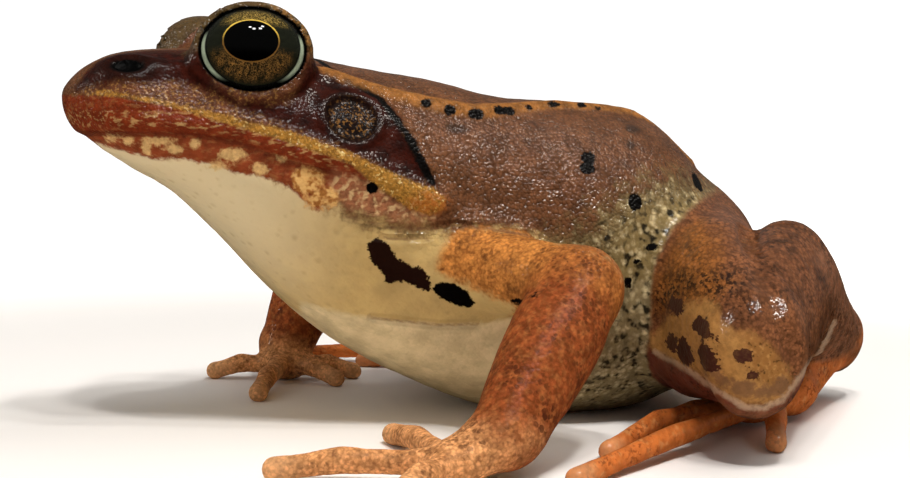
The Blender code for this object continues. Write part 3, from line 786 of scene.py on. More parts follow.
def net_of(values, axes):
    """A closed net of quads round the places where the values turn negative."""
    inside = values < 0
    count = np.zeros([n - 1 for n in values.shape], int)
    for offset in np.ndindex(2, 2, 2):
        window = tuple(slice(o, n - 1 + o) for o, n in zip(offset, values.shape))
        count += inside[window]
    cells = np.argwhere((count > 0) & (count < 8))
    number = np.full(count.shape, -1)
    number[tuple(cells.T)] = np.arange(len(cells))
    total = np.zeros((len(cells), 3))
    crossings = np.zeros(len(cells))
    faces = []
    for axis in range(3):
        step = np.eye(3, dtype=int)[axis]
        second, third = np.eye(3, dtype=int)[[(axis + 1) % 3, (axis + 2) % 3]]
        for a, b in np.ndindex(2, 2):
            start = cells + a * second + b * third
            near = values[tuple(start.T)]
            off = values[tuple((start + step).T)]
            crossed = (near < 0) != (off < 0)
            t = near[crossed] / (near[crossed] - off[crossed])
            total[crossed] += start[crossed] + t[:, None] * step
            crossings += crossed
        low = inside[tuple(slice(0, n - s) for n, s in zip(values.shape, step))]
        high = inside[tuple(slice(s, n) for n, s in zip(values.shape, step))]
        for flag, order in ((low & ~high, 1), (high & ~low, -1)):
            corner = np.argwhere(flag)
            ring = [corner, corner - second, corner - second - third, corner - third]
            quads = np.stack([number[tuple(place.T)] for place in ring], axis=1)
            faces.append(quads[:, ::order])
    index = total / crossings[:, None]
    places = [np.interp(index[:, n], np.arange(len(axis)), axis) for n, axis in enumerate(axes)]
    return np.stack(places, axis=1), np.concatenate(faces)


def read_points(mesh):
    """The mesh's vertices, mm."""
    points = np.empty(len(mesh.vertices) * 3, np.float32)
    mesh.vertices.foreach_get("co", points)
    return points.reshape(-1, 3).astype(float) / MM


def write_points(mesh, points):
    mesh.vertices.foreach_set("co", (points * MM).astype(np.float32).ravel())
    mesh.update()


def draw_to_form(mesh, rounds):
    """Moves each vertex along the form's slope until it lies on the skin."""
    points = read_points(mesh)
    step = 0.03
    for _ in range(rounds):
        distance = whole_skin(points)
        slope = np.stack([(whole_skin(points + step * way) - distance) / step for way in np.eye(3)], 1)
        steep = np.maximum((slope**2).sum(axis=1), 0.3)
        move = -(distance / steep)[:, None] * slope
        points += move * np.minimum(1.0, CELL / np.maximum(length_of(move), 1e-9))[:, None]
    write_points(mesh, points)


def write_field(mesh, name, values):
    """Keeps a number or a vector for each vertex, which materials read."""
    kind, key = ("FLOAT", "value") if values.ndim == 1 else ("FLOAT_VECTOR", "vector")
    layer = mesh.attributes.new(name, kind, "POINT")
    layer.data.foreach_set(key, values.astype(np.float32).ravel())


def add_mesh(kind, name, **settings):
    """Adds one of the basic meshes."""
    bpy.ops.object.select_all(action="DESELECT")
    getattr(bpy.ops.mesh, "primitive_" + kind + "_add")(**settings)
    bpy.context.active_object.name = name
    return bpy.context.active_object


def select_only(obj):
    bpy.ops.object.select_all(action="DESELECT")
    obj.select_set(True)
    bpy.context.view_layer.objects.active = obj


def apply_modifier(obj, kind, **settings):
    """Puts a modifier on a piece and applies it."""
    select_only(obj)
    bpy.ops.object.modifier_add(type=kind)
    modifier = obj.modifiers[-1]
    for key, value in settings.items():
        setattr(modifier, key, value)
    bpy.ops.object.modifier_apply(modifier=modifier.name)


def camera_place():
    """The camera's place, mm, and its turn."""
    azimuth = math.radians(CAMERA_AZIMUTH)
    level = math.radians(CAMERA_ELEVATION)
    flat = math.cos(level)
    back = Vector((math.sin(azimuth) * flat, -math.cos(azimuth) * flat, math.sin(level)))
    turn = back.to_track_quat("Z", "Y") @ Quaternion((0, 0, 1), math.radians(CAMERA_ROLL))
    return Vector(CAMERA_TARGET) + back * CAMERA_DISTANCE, turn


class PhotoEye:
    """Carries places in the photograph onto the skin, along the camera's lines of sight."""

    def __init__(self, mesh):
        points = read_points(mesh)
        faces = [tuple(polygon.vertices) for polygon in mesh.polygons]
        self.tree = BVHTree.FromPolygons([tuple(point) for point in points], faces)
        self.place, self.turn = camera_place()
        self.focus = CAMERA_LENS / CAMERA_SENSOR * PHOTO_SIZE[0]

    def ray(self, px, py):
        half = (PHOTO_SIZE[0] / 2, PHOTO_SIZE[1] / 2)
        return (self.turn @ Vector((px - half[0], half[1] - py, -self.focus))).normalized()

    def cast(self, px, py):
        """The place on the skin, mm, seen at this pixel, or None off the frog."""
        place = self.tree.ray_cast(self.place, self.ray(px, py))[0]
        return None if place is None else array(place)

    def cast_line(self, line):
        """The places on the skin seen along a line of pixels."""
        places = [self.cast(*pixel) for pixel in line]
        return [place for place in places if place is not None]

    def seen_at(self, points):
        """The pixels at which points are seen, and the millimetres that a pixel spans there."""
        offset = (points - array(self.place)) @ array(self.turn.to_matrix())
        scale = -offset[:, 2] / self.focus
        half = array(PHOTO_SIZE) / 2
        return half + offset[:, :2] / scale[:, None] * array((1.0, -1.0)), scale

    def spots(self, points, marks):
        """How far inside the nearest of the spots each point lies, mm."""
        ways = array(self.turn.to_matrix())
        deepest = np.full(len(points), -9.0)
        for px, py, half_wide, half_high in marks:
            centre = self.cast(px, py)
            if centre is None:
                continue
            scale = length_of(centre - array(self.place)) / self.focus
            wide, high = half_wide * scale, half_high * scale
            size = length_of((points - centre) @ ways / (wide, high, SPOT_DEPTH))
            deepest = np.maximum(deepest, (1.0 - size) * min(wide, high))
        return deepest


def line_distance(plan, line):
    """Distance in a plan to a line of points."""
    distance = np.full(len(plan), 99.0)
    for start, end in zip(line[:-1], line[1:]):
        edge = end - start
        offset = plan - start
        t = np.clip(offset @ edge / max(edge @ edge, 1e-9), 0.0, 1.0)
        distance = np.minimum(distance, length_of(offset - np.outer(t, edge)))
    return distance


def inside_outline(plan, outline):
    """How far inside a closed outline each point of the plan lies, mm, negative outside."""
    distance = line_distance(plan, np.concatenate([outline, outline[:1]]))
    inside = np.zeros(len(plan), bool)
    for start, end in zip(outline, np.roll(outline, -1, axis=0)):
        edge = end - start
        spans = (start[1] > plan[:, 1]) != (end[1] > plan[:, 1])
        height = np.where(edge[1] == 0, 1e-9, edge[1])
        inside ^= spans & (plan[:, 0] < start[0] + edge[0] * (plan[:, 1] - start[1]) / height)
    return np.where(inside, distance, -distance)


def body_shares(points):
    """How far into each part of a limb a point lies, mm, negative on its neighbours."""
    found = forms(points, fine=False)

    def nearest(*names):
        both = [found[name + side] for name in names for side in ("_left", "_right")]
        return np.min(np.stack(both), axis=0)

    shares = {
        "fore": np.minimum(found["trunk"], nearest("thigh", "shank", "tarsus", "foot"))
        - nearest("upper_arm", "forearm", "hand"),
        "forearm": nearest("upper_arm") - nearest("forearm", "hand"),
        "hand": nearest("upper_arm", "forearm") - nearest("hand"),
        "hind": np.minimum(found["trunk"], nearest("upper_arm", "forearm", "hand"))
        - nearest("thigh", "shank", "tarsus", "foot"),
        "shank": nearest("thigh") - nearest("shank", "tarsus", "foot"),
        "foot": nearest("thigh", "shank") - nearest("tarsus", "foot"),
    }
    return {name: np.clip(share, -3.0, 3.0) for name, share in shares.items()}


def photo_fields(mesh, folded):
    """The markings placed through the photograph, mm inside each one's edge."""
    eye = PhotoEye(mesh)
    seen, scale = eye.seen_at(folded)
    fields = {name: inside_outline(seen, array(outline)) * scale for name, outline in OUTLINES.items()}
    for name, marks in SPOTS.items():
        fields[name] = eye.spots(folded, marks)
    side = folded[:, 0] - HEAD_TOP[0] - (HEAD_TOP[1] - HEAD_TOP[0]) * ease(folded[:, 1], -25.0, -17.0)
    fields["mask"] = np.minimum(fields["mask"], side)
    fields["head_side"] = np.minimum(fields["head_side"], side)
    # The brown of the back goes on over the rump, which the photo's side hides.
    rump = np.minimum((folded[:, 1] - RUMP_BROWN[0]) * 0.8, folded[:, 2] - RUMP_BROWN[1])
    fields["brown"] = np.maximum(fields["brown"], rump)
    fields["mottle"] = np.minimum(fields["mottle"], 1.5 - rump)
    crease = np.min(np.stack([line_distance(seen, array(line)) for line in CREASES]), axis=0)
    fields["crease"] = CREASE_WIDTH - crease * scale
    leg_line = LEG_LINE_WIDTH - line_distance(seen, array(LEG_LINE)) * scale
    near_line = LINE_DEPTH - route_distance(folded, eye.cast_line(LEG_LINE), 2.0)
    fields["leg_line"] = np.minimum(leg_line, near_line)
    fields["mask_edge"] = MASK_EDGE_WIDTH - route_distance(folded, eye.cast_line(MASK_EDGE), 2.0)
    return fields


def form_fields(folded):
    """The markings that follow the body's forms, mm inside each one's edge."""
    tips = TOE_TIPS + FORE["left"]["tips"] + FORE["right"]["tips"]
    from_tip = np.min(np.stack([length_of(folded - array(tip)) for tip in tips]), axis=0)
    fold = [on_back(*place) for place in BACK_ROUTES[0][2]]
    above = above_mouth(folded)
    around, forward, upward, outward = round_eye(folded)
    return {
        "throat": THROAT_END - folded[:, 1],
        "tip": 1.0 - from_tip,
        "fold": FOLD_WIDTH - route_distance(folded, fold, 4.0),
        "drum": EARDRUM_RADIUS - length_of(folded - array(on_side(*EARDRUM))),
        "nostril": -nostril_form(folded),
        "mouth": np.where(folded[:, 1] < MOUTH_END, MOUTH_LINE[1] - np.abs(above + MOUTH_DROP), -1.0),
        "lip_above": above,
        "lid": np.where(outward > -1.5, -around * EYE_OPENING[1], -9.0),
        "lid_up": upward,
        "lid_rear": -forward,
    }


def marking_fields(mesh):
    """The skin's markings as smooth fields."""
    points = read_points(mesh)
    folded = fold_left(points)
    return {**body_shares(points), **photo_fields(mesh, folded), **form_fields(folded)}


def add(tree, kind, inputs=None, **settings):
    """Adds a node with its settings, and its inputs as values or as links from sockets."""
    node = tree.nodes.new(kind)
    for key, value in settings.items():
        setattr(node, key, value)
    for key, value in (inputs or {}).items():
        socket = node.inputs[key]
        if isinstance(value, bpy.types.NodeSocket):
            tree.links.new(value, socket)
        else:
            socket.default_value = value
    return node


def new_material(name, inputs):
    """A material, its nodes and its shader, with these values on the shader's inputs."""
    material = bpy.data.materials.new(name)
    material.use_nodes = True
    shader = material.node_tree.nodes["Principled BSDF"]
    for key, value in inputs.items():
        shader.inputs[key].default_value = value
    return material, material.node_tree, shader


def tint(colour, share=1.0):
    """A linear colour, or a hex one, made darker or lighter by a share."""
    parts = linear(colour) if isinstance(colour, str) else colour
    return [min(part * share, 1.0) for part in parts]


def rgba(colour):
    """What a node's colour input takes: a link as it is, or a colour with its alpha."""
    return colour if isinstance(colour, bpy.types.NodeSocket) else (*tint(colour), 1.0)


def per(size):
    """The scale of a texture whose lumps are this many millimetres across."""
    return 1 / (size * MM)


class Pigment:
    """Builds up a skin's colour in layers, each with a ragged edge along one of its fields."""

    def __init__(self, tree, grain=0.2, stretch=1.0):
        self.tree = tree
        self.place = add(tree, "ShaderNodeTexCoord").outputs["Object"]
        if stretch > 1:
            self.place = self.along_legs(stretch)
        self.colour = None
        self.coarse = self.noise(0.9, 3.0)
        self.fine = self.noise(0.28, 2.0)
        # Places that stray a little, so that cells get ragged sides.
        stray = self.texture("Noise", self.place, per(STRAY_SIZE), Detail=2.0)["Color"]
        push = self.vectors("SUBTRACT", {0: stray, 1: (0.5, 0.5, 0.5)})
        push = self.vectors("SCALE", {0: push, "Scale": STRAY * MM})
        self.stray = self.vectors("ADD", {0: self.place, 1: push})
        self.granules = self.texture("Voronoi", self.stray, per(grain))

    def along_legs(self, stretch):
        """Coordinates that are alike on both sides and draw a pattern out along the thighs."""
        x, y, z = add(self.tree, "ShaderNodeSeparateXYZ", {0: self.place}).outputs
        mirrored = add(self.tree, "ShaderNodeCombineXYZ", {0: self.maths("ABSOLUTE", x), 1: y, 2: z})
        turned = {
            "Vector": mirrored.outputs[0],
            "Rotation": (0, 0, math.radians(LEG_WAY)),
            "Scale": (stretch, 1, 1),
        }
        return add(self.tree, "ShaderNodeMapping", turned, vector_type="TEXTURE").outputs[0]

    def texture(self, kind, place, scale, **inputs):
        """The outputs of a noise or cell texture at these coordinates."""
        inputs = {"Vector": place, "Scale": scale, **inputs}
        return add(self.tree, "ShaderNodeTex" + kind, inputs).outputs

    def noise(self, size, detail):
        """Soft noise whose lumps are this many millimetres across, from 0 to 1."""
        return self.texture("Noise", self.place, per(size), Detail=detail, Roughness=0.6)["Fac"]

    def drawn_out(self, sizes, slope=0.0):
        """Noise whose lumps have these sizes along X, Y and Z, mm, on a slope along the body."""
        turned = {
            "Vector": self.place,
            "Rotation": (math.radians(slope), 0, 0),
            "Scale": [per(size) for size in sizes],
        }
        place = add(self.tree, "ShaderNodeMapping", turned).outputs[0]
        return self.texture("Noise", place, 1.0, Detail=2.0)["Fac"]

    def field(self, name):
        return add(self.tree, "ShaderNodeAttribute", attribute_name=name).outputs["Fac"]

    def vectors(self, operation, inputs):
        return add(self.tree, "ShaderNodeVectorMath", inputs, operation=operation).outputs[0]

    def maths(self, operation, first, second=0.0):
        return add(self.tree, "ShaderNodeMath", {0: first, 1: second}, operation=operation).outputs[0]

    def without(self, share):
        """What a share leaves over."""
        return self.maths("SUBTRACT", 1.0, share)

    def times(self, *values):
        product = values[0]
        for value in values[1:]:
            product = self.maths("MULTIPLY", product, value)
        return product

    def step(self, value, low, high, most=1.0):
        """0 below low, the most above high, and an S-curve between; falls where low is higher."""
        value = self.field(value) if isinstance(value, str) else value
        ends = {"From Min": low, "From Max": high, "To Min": 0.0, "To Max": most}
        if low > high:
            ends = {"From Min": high, "From Max": low, "To Min": most, "To Max": 0.0}
        return add(self.tree, "ShaderNodeMapRange", {"Value": value, **ends},
                   interpolation_type="SMOOTHSTEP").outputs["Result"]

    def ragged(self, value, coarse, fine):
        """A field whose edge wanders by these many millimetres."""
        value = self.field(value) if isinstance(value, str) else value
        wander = self.times(self.maths("SUBTRACT", self.coarse, 0.5), coarse * 2.6)
        flicker = self.times(self.maths("SUBTRACT", self.fine, 0.5), fine * 2.6)
        return self.maths("ADD", self.maths("ADD", value, wander), flicker)

    def within(self, name, soft=0.06, coarse=0.0, fine=0.05, inset=0.0, most=1.0):
        """The share of a colour where a field is above its inset, over a soft ragged edge."""
        return self.step(self.ragged(name, coarse, fine), inset - soft, inset + soft, most)

    def flecks(self, size, cover, soft=0.06):
        """Ragged specks about this many millimetres apart, 1 on a speck and 0 between."""
        return self.step(self.noise(size, 1.5), 1 - cover - soft, 1 - cover + soft)

    def dots(self, size, cover, soft=0.08):
        """Round dots of many sizes about this many millimetres apart, 1 on a dot."""
        cells = self.texture("Voronoi", self.stray, per(size))
        widest = self.times(cells["Color"], cover)
        return self.step(self.maths("SUBTRACT", widest, cells["Distance"]), -soft, soft)

    def net(self):
        """Where painted shade goes: the narrow low places between the skin's granules, 1 there and 0 on
        the granules.
        """
        return self.step(self.granules["Distance"], 0.3, 0.75)

    def between(self, share, first, second):
        """A colour between two others."""
        ends = {"Factor": share, 6: rgba(first), 7: rgba(second)}
        return add(self.tree, "ShaderNodeMix", ends, data_type="RGBA").outputs[2]

    def varied(self, colour, size, depth=0.3, grained=0.0):
        """A colour that drifts over lumps of this size, mm, and also differs between granules."""
        drift = self.step(self.noise(size, 4.0), 0.3, 0.7)
        if grained:
            apart = self.times(self.maths("SUBTRACT", self.granules["Color"], 0.5), grained)
            drift = self.maths("ADD", drift, apart)
        return self.between(drift, tint(colour, 1 - depth), tint(colour, 1 + depth))

    def lay(self, colour, *shares):
        """Covers the skin with a colour, by the product of the shares."""
        self.colour = self.between(self.times(*shares), self.colour, colour)


def colour_property(name, description, hex_colour):
    return FloatVectorProperty(name=name, description=description, default=linear(hex_colour),
                               subtype="COLOR", size=3, min=0.0, max=1.0)


class FrogSkinLooks(bpy.types.PropertyGroup):
    back: colour_property("Back", "Grey-brown of the back and flank", "603C24")
    belly: colour_property("Belly", "Cream of the belly", "B89A62")
    throat: colour_property("Throat", "Paler cream of the throat", "C4B08A")
    mask: colour_property("Mask", "Dark red-brown of the mask", "280A04")
    lore: colour_property("Snout side", "Brown between the mask and the lip stripe", "54301C")
    ink: colour_property("Ink", "Black of the spots", "060403")
    stripe: colour_property("Lip stripe", "Gold of the stripe over the lip", "94682A")
    lip: colour_property("Lip", "Red-brown of the lips", "66260F")
    jaw: colour_property("Jaw", "Orange-brown of the lower jaw's edge", "74341A")
    fold: colour_property("Back fold", "Orange-tan of the folds along the back", "865628")
    arm: colour_property("Upper arm", "Orange-tan of the upper arm", "B87638")
    forearm: colour_property("Forearm", "Red-brown of the forearm", "84421F")
    hand: colour_property("Hand", "Orange-tan of the hand", "D89862")
    leg: colour_property("Hind limb", "Brown of the hind limbs", "72462A")
    toe: colour_property("Toes", "Orange of the toes", "B8642E")
    grain: FloatProperty(name="Grain", description="Width of the skin's fine granules", default=0.22 * MM,
                         min=0.1 * MM, max=2 * MM, subtype="DISTANCE", unit="LENGTH", precision=5)


class FrogEyeLooks(bpy.types.PropertyGroup):
    gold: colour_property("Gold", "Bright ring round the pupil", "D8B44C")
    bronze: colour_property("Bronze", "Flecks of the iris", "6A4A22")
    shade: colour_property("Shade", "Dark ground of the iris", "15170F")
    rim: colour_property("Rim", "Pale edge of the eyeball", "98A48C")


class FrogStageLooks(bpy.types.PropertyGroup):
    floor: colour_property("Floor", "Plain pale floor", "F4F0EC")
    key: FloatProperty(name="Key light", description="Power of the light above the frog's left side",
                       default=1.0, min=0.0, max=20.0)
    fill: FloatProperty(name="Fill light", description="Power of the soft lights in front and behind",
                        default=0.3, min=0.0, max=20.0)
    gloss: FloatProperty(name="Gloss light", description="Power of the lamps that moist skin mirrors",
                         default=0.9, min=0.0, max=20.0)
    ambient: FloatProperty(name="Ambient light", description="Strength of the light from all round",
                           default=0.2, min=0.0, max=5.0)


class FROG_OT_stage(bpy.types.Operator):
    """Adds the pale floor, the white backdrop, the soft lights and the camera"""

    bl_idname = "frog.stage"
    bl_label = "Floor, light and camera"

    def execute(self, context):
        looks = context.scene.frog_stage
        floor = add_mesh("circle", "floor", vertices=96, radius=FLOOR_RADIUS, fill_type="NGON")
        floor.data.materials.append(floor_material(looks))
        backdrop = add_mesh("uv_sphere", "backdrop", segments=48, ring_count=24, radius=BACKDROP_RADIUS)
        backdrop.data.materials.append(backdrop_material())
        # The backdrop only shows behind the frog, and sheds no light on it.
        backdrop.visible_diffuse = False
        backdrop.visible_glossy = False
        backdrop.visible_transmission = False
        backdrop.visible_shadow = False
        # Wet skin and eyes would go grey with the lit paper's reflection.
        floor.visible_glossy = False
        # The key is a cluster of four small lamps, which the eyes show as four dots.
        for number, (across, up) in enumerate(KEY_DOTS):
            place = Vector(KEY_PLACE) + Vector((-0.2 * up, across, 0.6 * up)) * KEY_SPREAD
            self.light("key_" + str(number + 1), looks.key / 4, KEY_SIZE, place)
        for name, share, size, place in SOFT_LAMPS:
            self.light(name, looks.fill * share, size, place).visible_glossy = False
        for name, share, size, place in GLOSS_LAMPS:
            self.light(name, looks.gloss * share, size, place, GLOSS_COLOUR).visible_diffuse = False
        self.sky(context, looks)
        self.camera(context)
        return {"FINISHED"}

    @staticmethod
    def light(name, power, size, place, colour=LAMP_COLOUR):
        way = Vector(place) - Vector(LAMPS_LOOK_AT)
        turn = way.to_track_quat("Z", "Y").to_euler()
        bpy.ops.object.light_add(type="AREA", location=place, rotation=turn)
        lamp = bpy.context.active_object
        lamp.name = name
        lamp.data.energy = power
        lamp.data.size = size
        lamp.data.color = colour
        return lamp

    @staticmethod
    def sky(context, looks):
        world = bpy.data.worlds.new("white studio")
        world.use_nodes = True
        sky = world.node_tree.nodes["Background"]
        sky.inputs["Color"].default_value = (1.0, 0.975, 0.945, 1.0)
        # Only the upper half sheds light, so that the wet belly does not mirror it from below.
        tree = world.node_tree
        way = add(tree, "ShaderNodeTexCoord").outputs["Generated"]
        upward = add(tree, "ShaderNodeSeparateXYZ", {0: way}).outputs[2]
        rise = {"Value": upward, "From Min": -0.1, "From Max": 0.2, "To Max": looks.ambient}
        light = add(tree, "ShaderNodeMapRange", rise).outputs["Result"]
        tree.links.new(light, sky.inputs["Strength"])
        context.scene.world = world
        context.scene.view_settings.view_transform = "Standard"

    @staticmethod
    def camera(context):
        place, turn = camera_place()
        bpy.ops.object.camera_add(location=place * MM, rotation=turn.to_euler())
        camera = context.active_object
        camera.name = "camera"
        camera.data.sensor_fit = "HORIZONTAL"
        camera.data.sensor_width = CAMERA_SENSOR
        camera.data.lens = CAMERA_LENS
        camera.data.clip_start = 1 * MM
        context.scene.camera = camera


def floor_material(looks):
    """Matt white paper, lit evenly from below towards its rim, so that no edge shows."""
    material, tree, shader = new_material("matt white studio paper", {
        "Base Color": rgba(looks.floor),
        "Roughness": 0.5,
        "Emission Color": (1.0, 1.0, 0.98, 1.0),
    })
    place = add(tree, "ShaderNodeTexCoord").outputs["Object"]
    away = add(tree, "ShaderNodeVectorMath", {0: place}, operation="LENGTH").outputs["Value"]
    reach = {"Value": away, "From Min": FLOOR_GLOW[0], "From Max": FLOOR_GLOW[1]}
    glow = add(tree, "ShaderNodeMapRange", reach, interpolation_type="SMOOTHSTEP").outputs["Result"]
    tree.links.new(glow, shader.inputs["Emission Strength"])
    return material


def backdrop_material():
    """White paper lit so strongly that it shows no shading."""
    return new_material("overlit white backdrop", {
        "Base Color": (0.0, 0.0, 0.0, 1.0),
        "Specular IOR Level": 0.0,
        "Emission Color": (1.0, 1.0, 1.0, 1.0),
        "Emission Strength": 1.1,
    })[0]


class FROG_OT_skin(bpy.types.Operator):
    """Makes the one skin that covers head, trunk and limbs"""

    bl_idname = "frog.skin"
    bl_label = "Skin"

    def execute(self, context):
        axes = grid_axes()
        corners, faces = net_of(sample_form(axes), axes)
        mesh = bpy.data.meshes.new("skin")
        mesh.from_pydata((corners * MM).tolist(), [], faces.tolist())
        skin = bpy.data.objects.new("skin", mesh)
        context.scene.collection.objects.link(skin)
        for smoothing, drawing in SKIN_ROUNDS:
            apply_modifier(skin, "SMOOTH", factor=0.5, iterations=smoothing)
            draw_to_form(skin.data, drawing)
        lumps = bpy.data.textures.new("soft lumps of the skin", "CLOUDS")
        lumps.noise_scale = LUMP_SIZE * MM
        apply_modifier(skin, "DISPLACE", texture=lumps, texture_coords="LOCAL", strength=LUMP_HEIGHT * MM)
        select_only(skin)
        bpy.ops.object.shade_smooth()
        for name, values in marking_fields(skin.data).items():
            write_field(skin.data, name, values)
        skin.data.materials.append(frog_skin_material(context.scene.frog_skin))
        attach(skin, "root")
        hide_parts(*FLESH)
        return {"FINISHED"}


def frog_skin_material(looks):
    """Living frog skin: thin, moist and finely granular over soft flesh.

    The mucus gives small sharp glints on every granule, and light goes a little way in.
    """
    material, tree, shader = new_material("moist granular frog skin", {
        "IOR": 1.4,
        "Specular IOR Level": 0.03,
        "Subsurface Weight": 0.06,
        "Subsurface Radius": (1.0, 0.45, 0.25),
        "Subsurface Scale": 0.6 * MM,
        "Coat Roughness": 0.1,
        "Coat IOR": 1.36,
    })
    tone = Pigment(tree, looks.grain / MM)
    colour_trunk(tone, looks)
    colour_arms(tone, looks)
    legs = Pigment(tree, looks.grain / MM, LEG_STRETCH)
    legs.colour = tone.colour
    colour_legs(legs, looks)
    tone.colour = legs.colour
    colour_head(tone, looks)
    colour_spots(tone, looks)
    tree.links.new(tone.colour, shader.inputs["Base Color"])
    raised = {"Height": skin_height(tone), "Distance": MM, "Strength": 1.0}
    bump = add(tree, "ShaderNodeBump", raised).outputs["Normal"]
    tree.links.new(bump, shader.inputs["Normal"])
    tree.links.new(bump, shader.inputs["Coat Normal"])
    rough = add(tree, "ShaderNodeMapRange", {"Value": tone.noise(2.4, 3.0), "To Min": 0.36, "To Max": 0.6})
    matt = tone.maths("ADD", rough.outputs["Result"], tone.within("fore", 0.6, most=0.2))
    tree.links.new(matt, shader.inputs["Roughness"])
    # No gloss comes out of the nostrils, and the snout's tip, arms and spots are drier too.
    dry = tone.within("nostril", 0.1, inset=-0.1, fine=0.02)
    dry = tone.maths("MAXIMUM", dry, tone.step("throat", 8.0, 11.5, 0.85))
    for name, most in DRY_PARTS:
        dry = tone.maths("MAXIMUM", dry, tone.within(name, 0.1, most=most))
    tree.links.new(tone.times(tone.without(dry), 0.4), shader.inputs["Coat Weight"])
    return material


def colour_trunk(tone, looks):
    """Brown back and flank with finer freckles, down to a granular mottle and a cream belly."""
    tone.colour = tone.varied(looks.back, 2.0, 0.35, 0.8)
    tone.lay(tint(looks.back, 1.4), tone.flecks(0.4, 0.45, 0.15), 0.4)
    tone.lay(tint(looks.back, 0.5), tone.flecks(0.7, 0.4, 0.15), 0.5)
    # Painted shade darkens the hollows between the granules.
    tone.lay(tint(looks.back, 0.3), tone.net(), 0.45)
    pale = tone.step(tone.ragged("brown", 1.2, 0.4), 0.8, -1.0)
    tone.lay(tone.varied(looks.belly, 2.2, 0.12), pale)
    tone.lay(looks.throat, pale, tone.step("throat", -4.0, 4.0))
    tone.lay(tint(looks.belly, 0.5), pale, tone.dots(0.8, 0.3, 0.2), 0.3)
    # Below the chest's fold the belly turns another cream. It is partly its own tone and partly painted
    # light, laid lighter than the belly above to make up for the little lamp light that reaches there.
    low = tone.times(pale, tone.within("belly_low", 0.2, 0.2))
    tone.lay(tone.varied("CDB78E", 1.6, 0.2, 0.3), low, 0.8)
    # Low on the flank the brown turns olive, then to cream granules with black between them.
    olive = tone.step(tone.ragged("mottle", 1.8, 0.6), -2.6, 0.2)
    tone.lay(tone.varied("665636", 0.9, 0.4, 0.8), olive, 0.8)
    mottle = tone.step(tone.ragged("mottle", 2.2, 0.6), -1.4, 1.4)
    cells = tone.texture("Voronoi", tone.stray, per(0.44))
    crowded = tone.step(tone.noise(0.8, 3.0), 0.38, 0.62)
    granule = tone.times(tone.step(cells["Distance"], 0.72, 0.2), crowded)
    tone.lay(tone.varied("C8B488", 0.6, 0.3), mottle, granule, 0.85)
    gaps = tone.without(tone.times(granule, 0.8))
    tone.lay("14120C", mottle, gaps, tone.flecks(0.7, 0.42, 0.08), 0.95)


def colour_arms(tone, looks):
    """Orange-tan upper arms and hands, and forearms netted with red-brown, with painted shade in the
    hollows between the arms' granules.
    """
    fore = tone.within("fore", 0.4, 0.3)
    lower = tone.within("forearm", 1.4, 0.8)
    bare = tone.without(tone.within("upper_arm", 0.35, 0.4, 0.2))
    arm = tone.times(fore, tone.without(tone.times(bare, tone.without(lower))))
    forearm = tone.times(fore, lower)
    hand = tone.times(fore, tone.within("hand", 0.8, 0.3))
    cluster = tone.step(tone.noise(1.7, 3.0), 0.42, 0.62)
    tone.lay(tone.varied(looks.arm, 1.2, 0.3, 0.8), arm)
    tone.lay(tone.varied(looks.forearm, 0.7, 0.35, 0.7), forearm)
    tone.lay(tone.varied(looks.hand, 0.8, 0.3, 0.7), hand)
    tone.lay("B0743E", forearm, tone.flecks(0.5, 0.42, 0.16), 0.35)
    tone.lay(tint(looks.forearm, 0.5), arm, tone.flecks(0.34, 0.4, 0.1), 0.5)
    # Painted shade, in a dark red-brown, darkens the hollows between the granules.
    tone.lay(tint(looks.forearm, 0.4), arm, tone.net(), 0.35)
    flecked = tone.maths("MAXIMUM", tone.times(cluster, 0.7), tone.within("flecked", 0.8, 0.6))
    tone.lay("3A1A0E", arm, flecked, tone.dots(0.34, 0.75, 0.14), 0.75)
    tone.lay("3A1A0E", arm, flecked, tone.flecks(0.4, 0.36, 0.06), 0.6)
    tone.lay("E0B080", hand, tone.step("tip", -1.2, 0.8), 0.35)


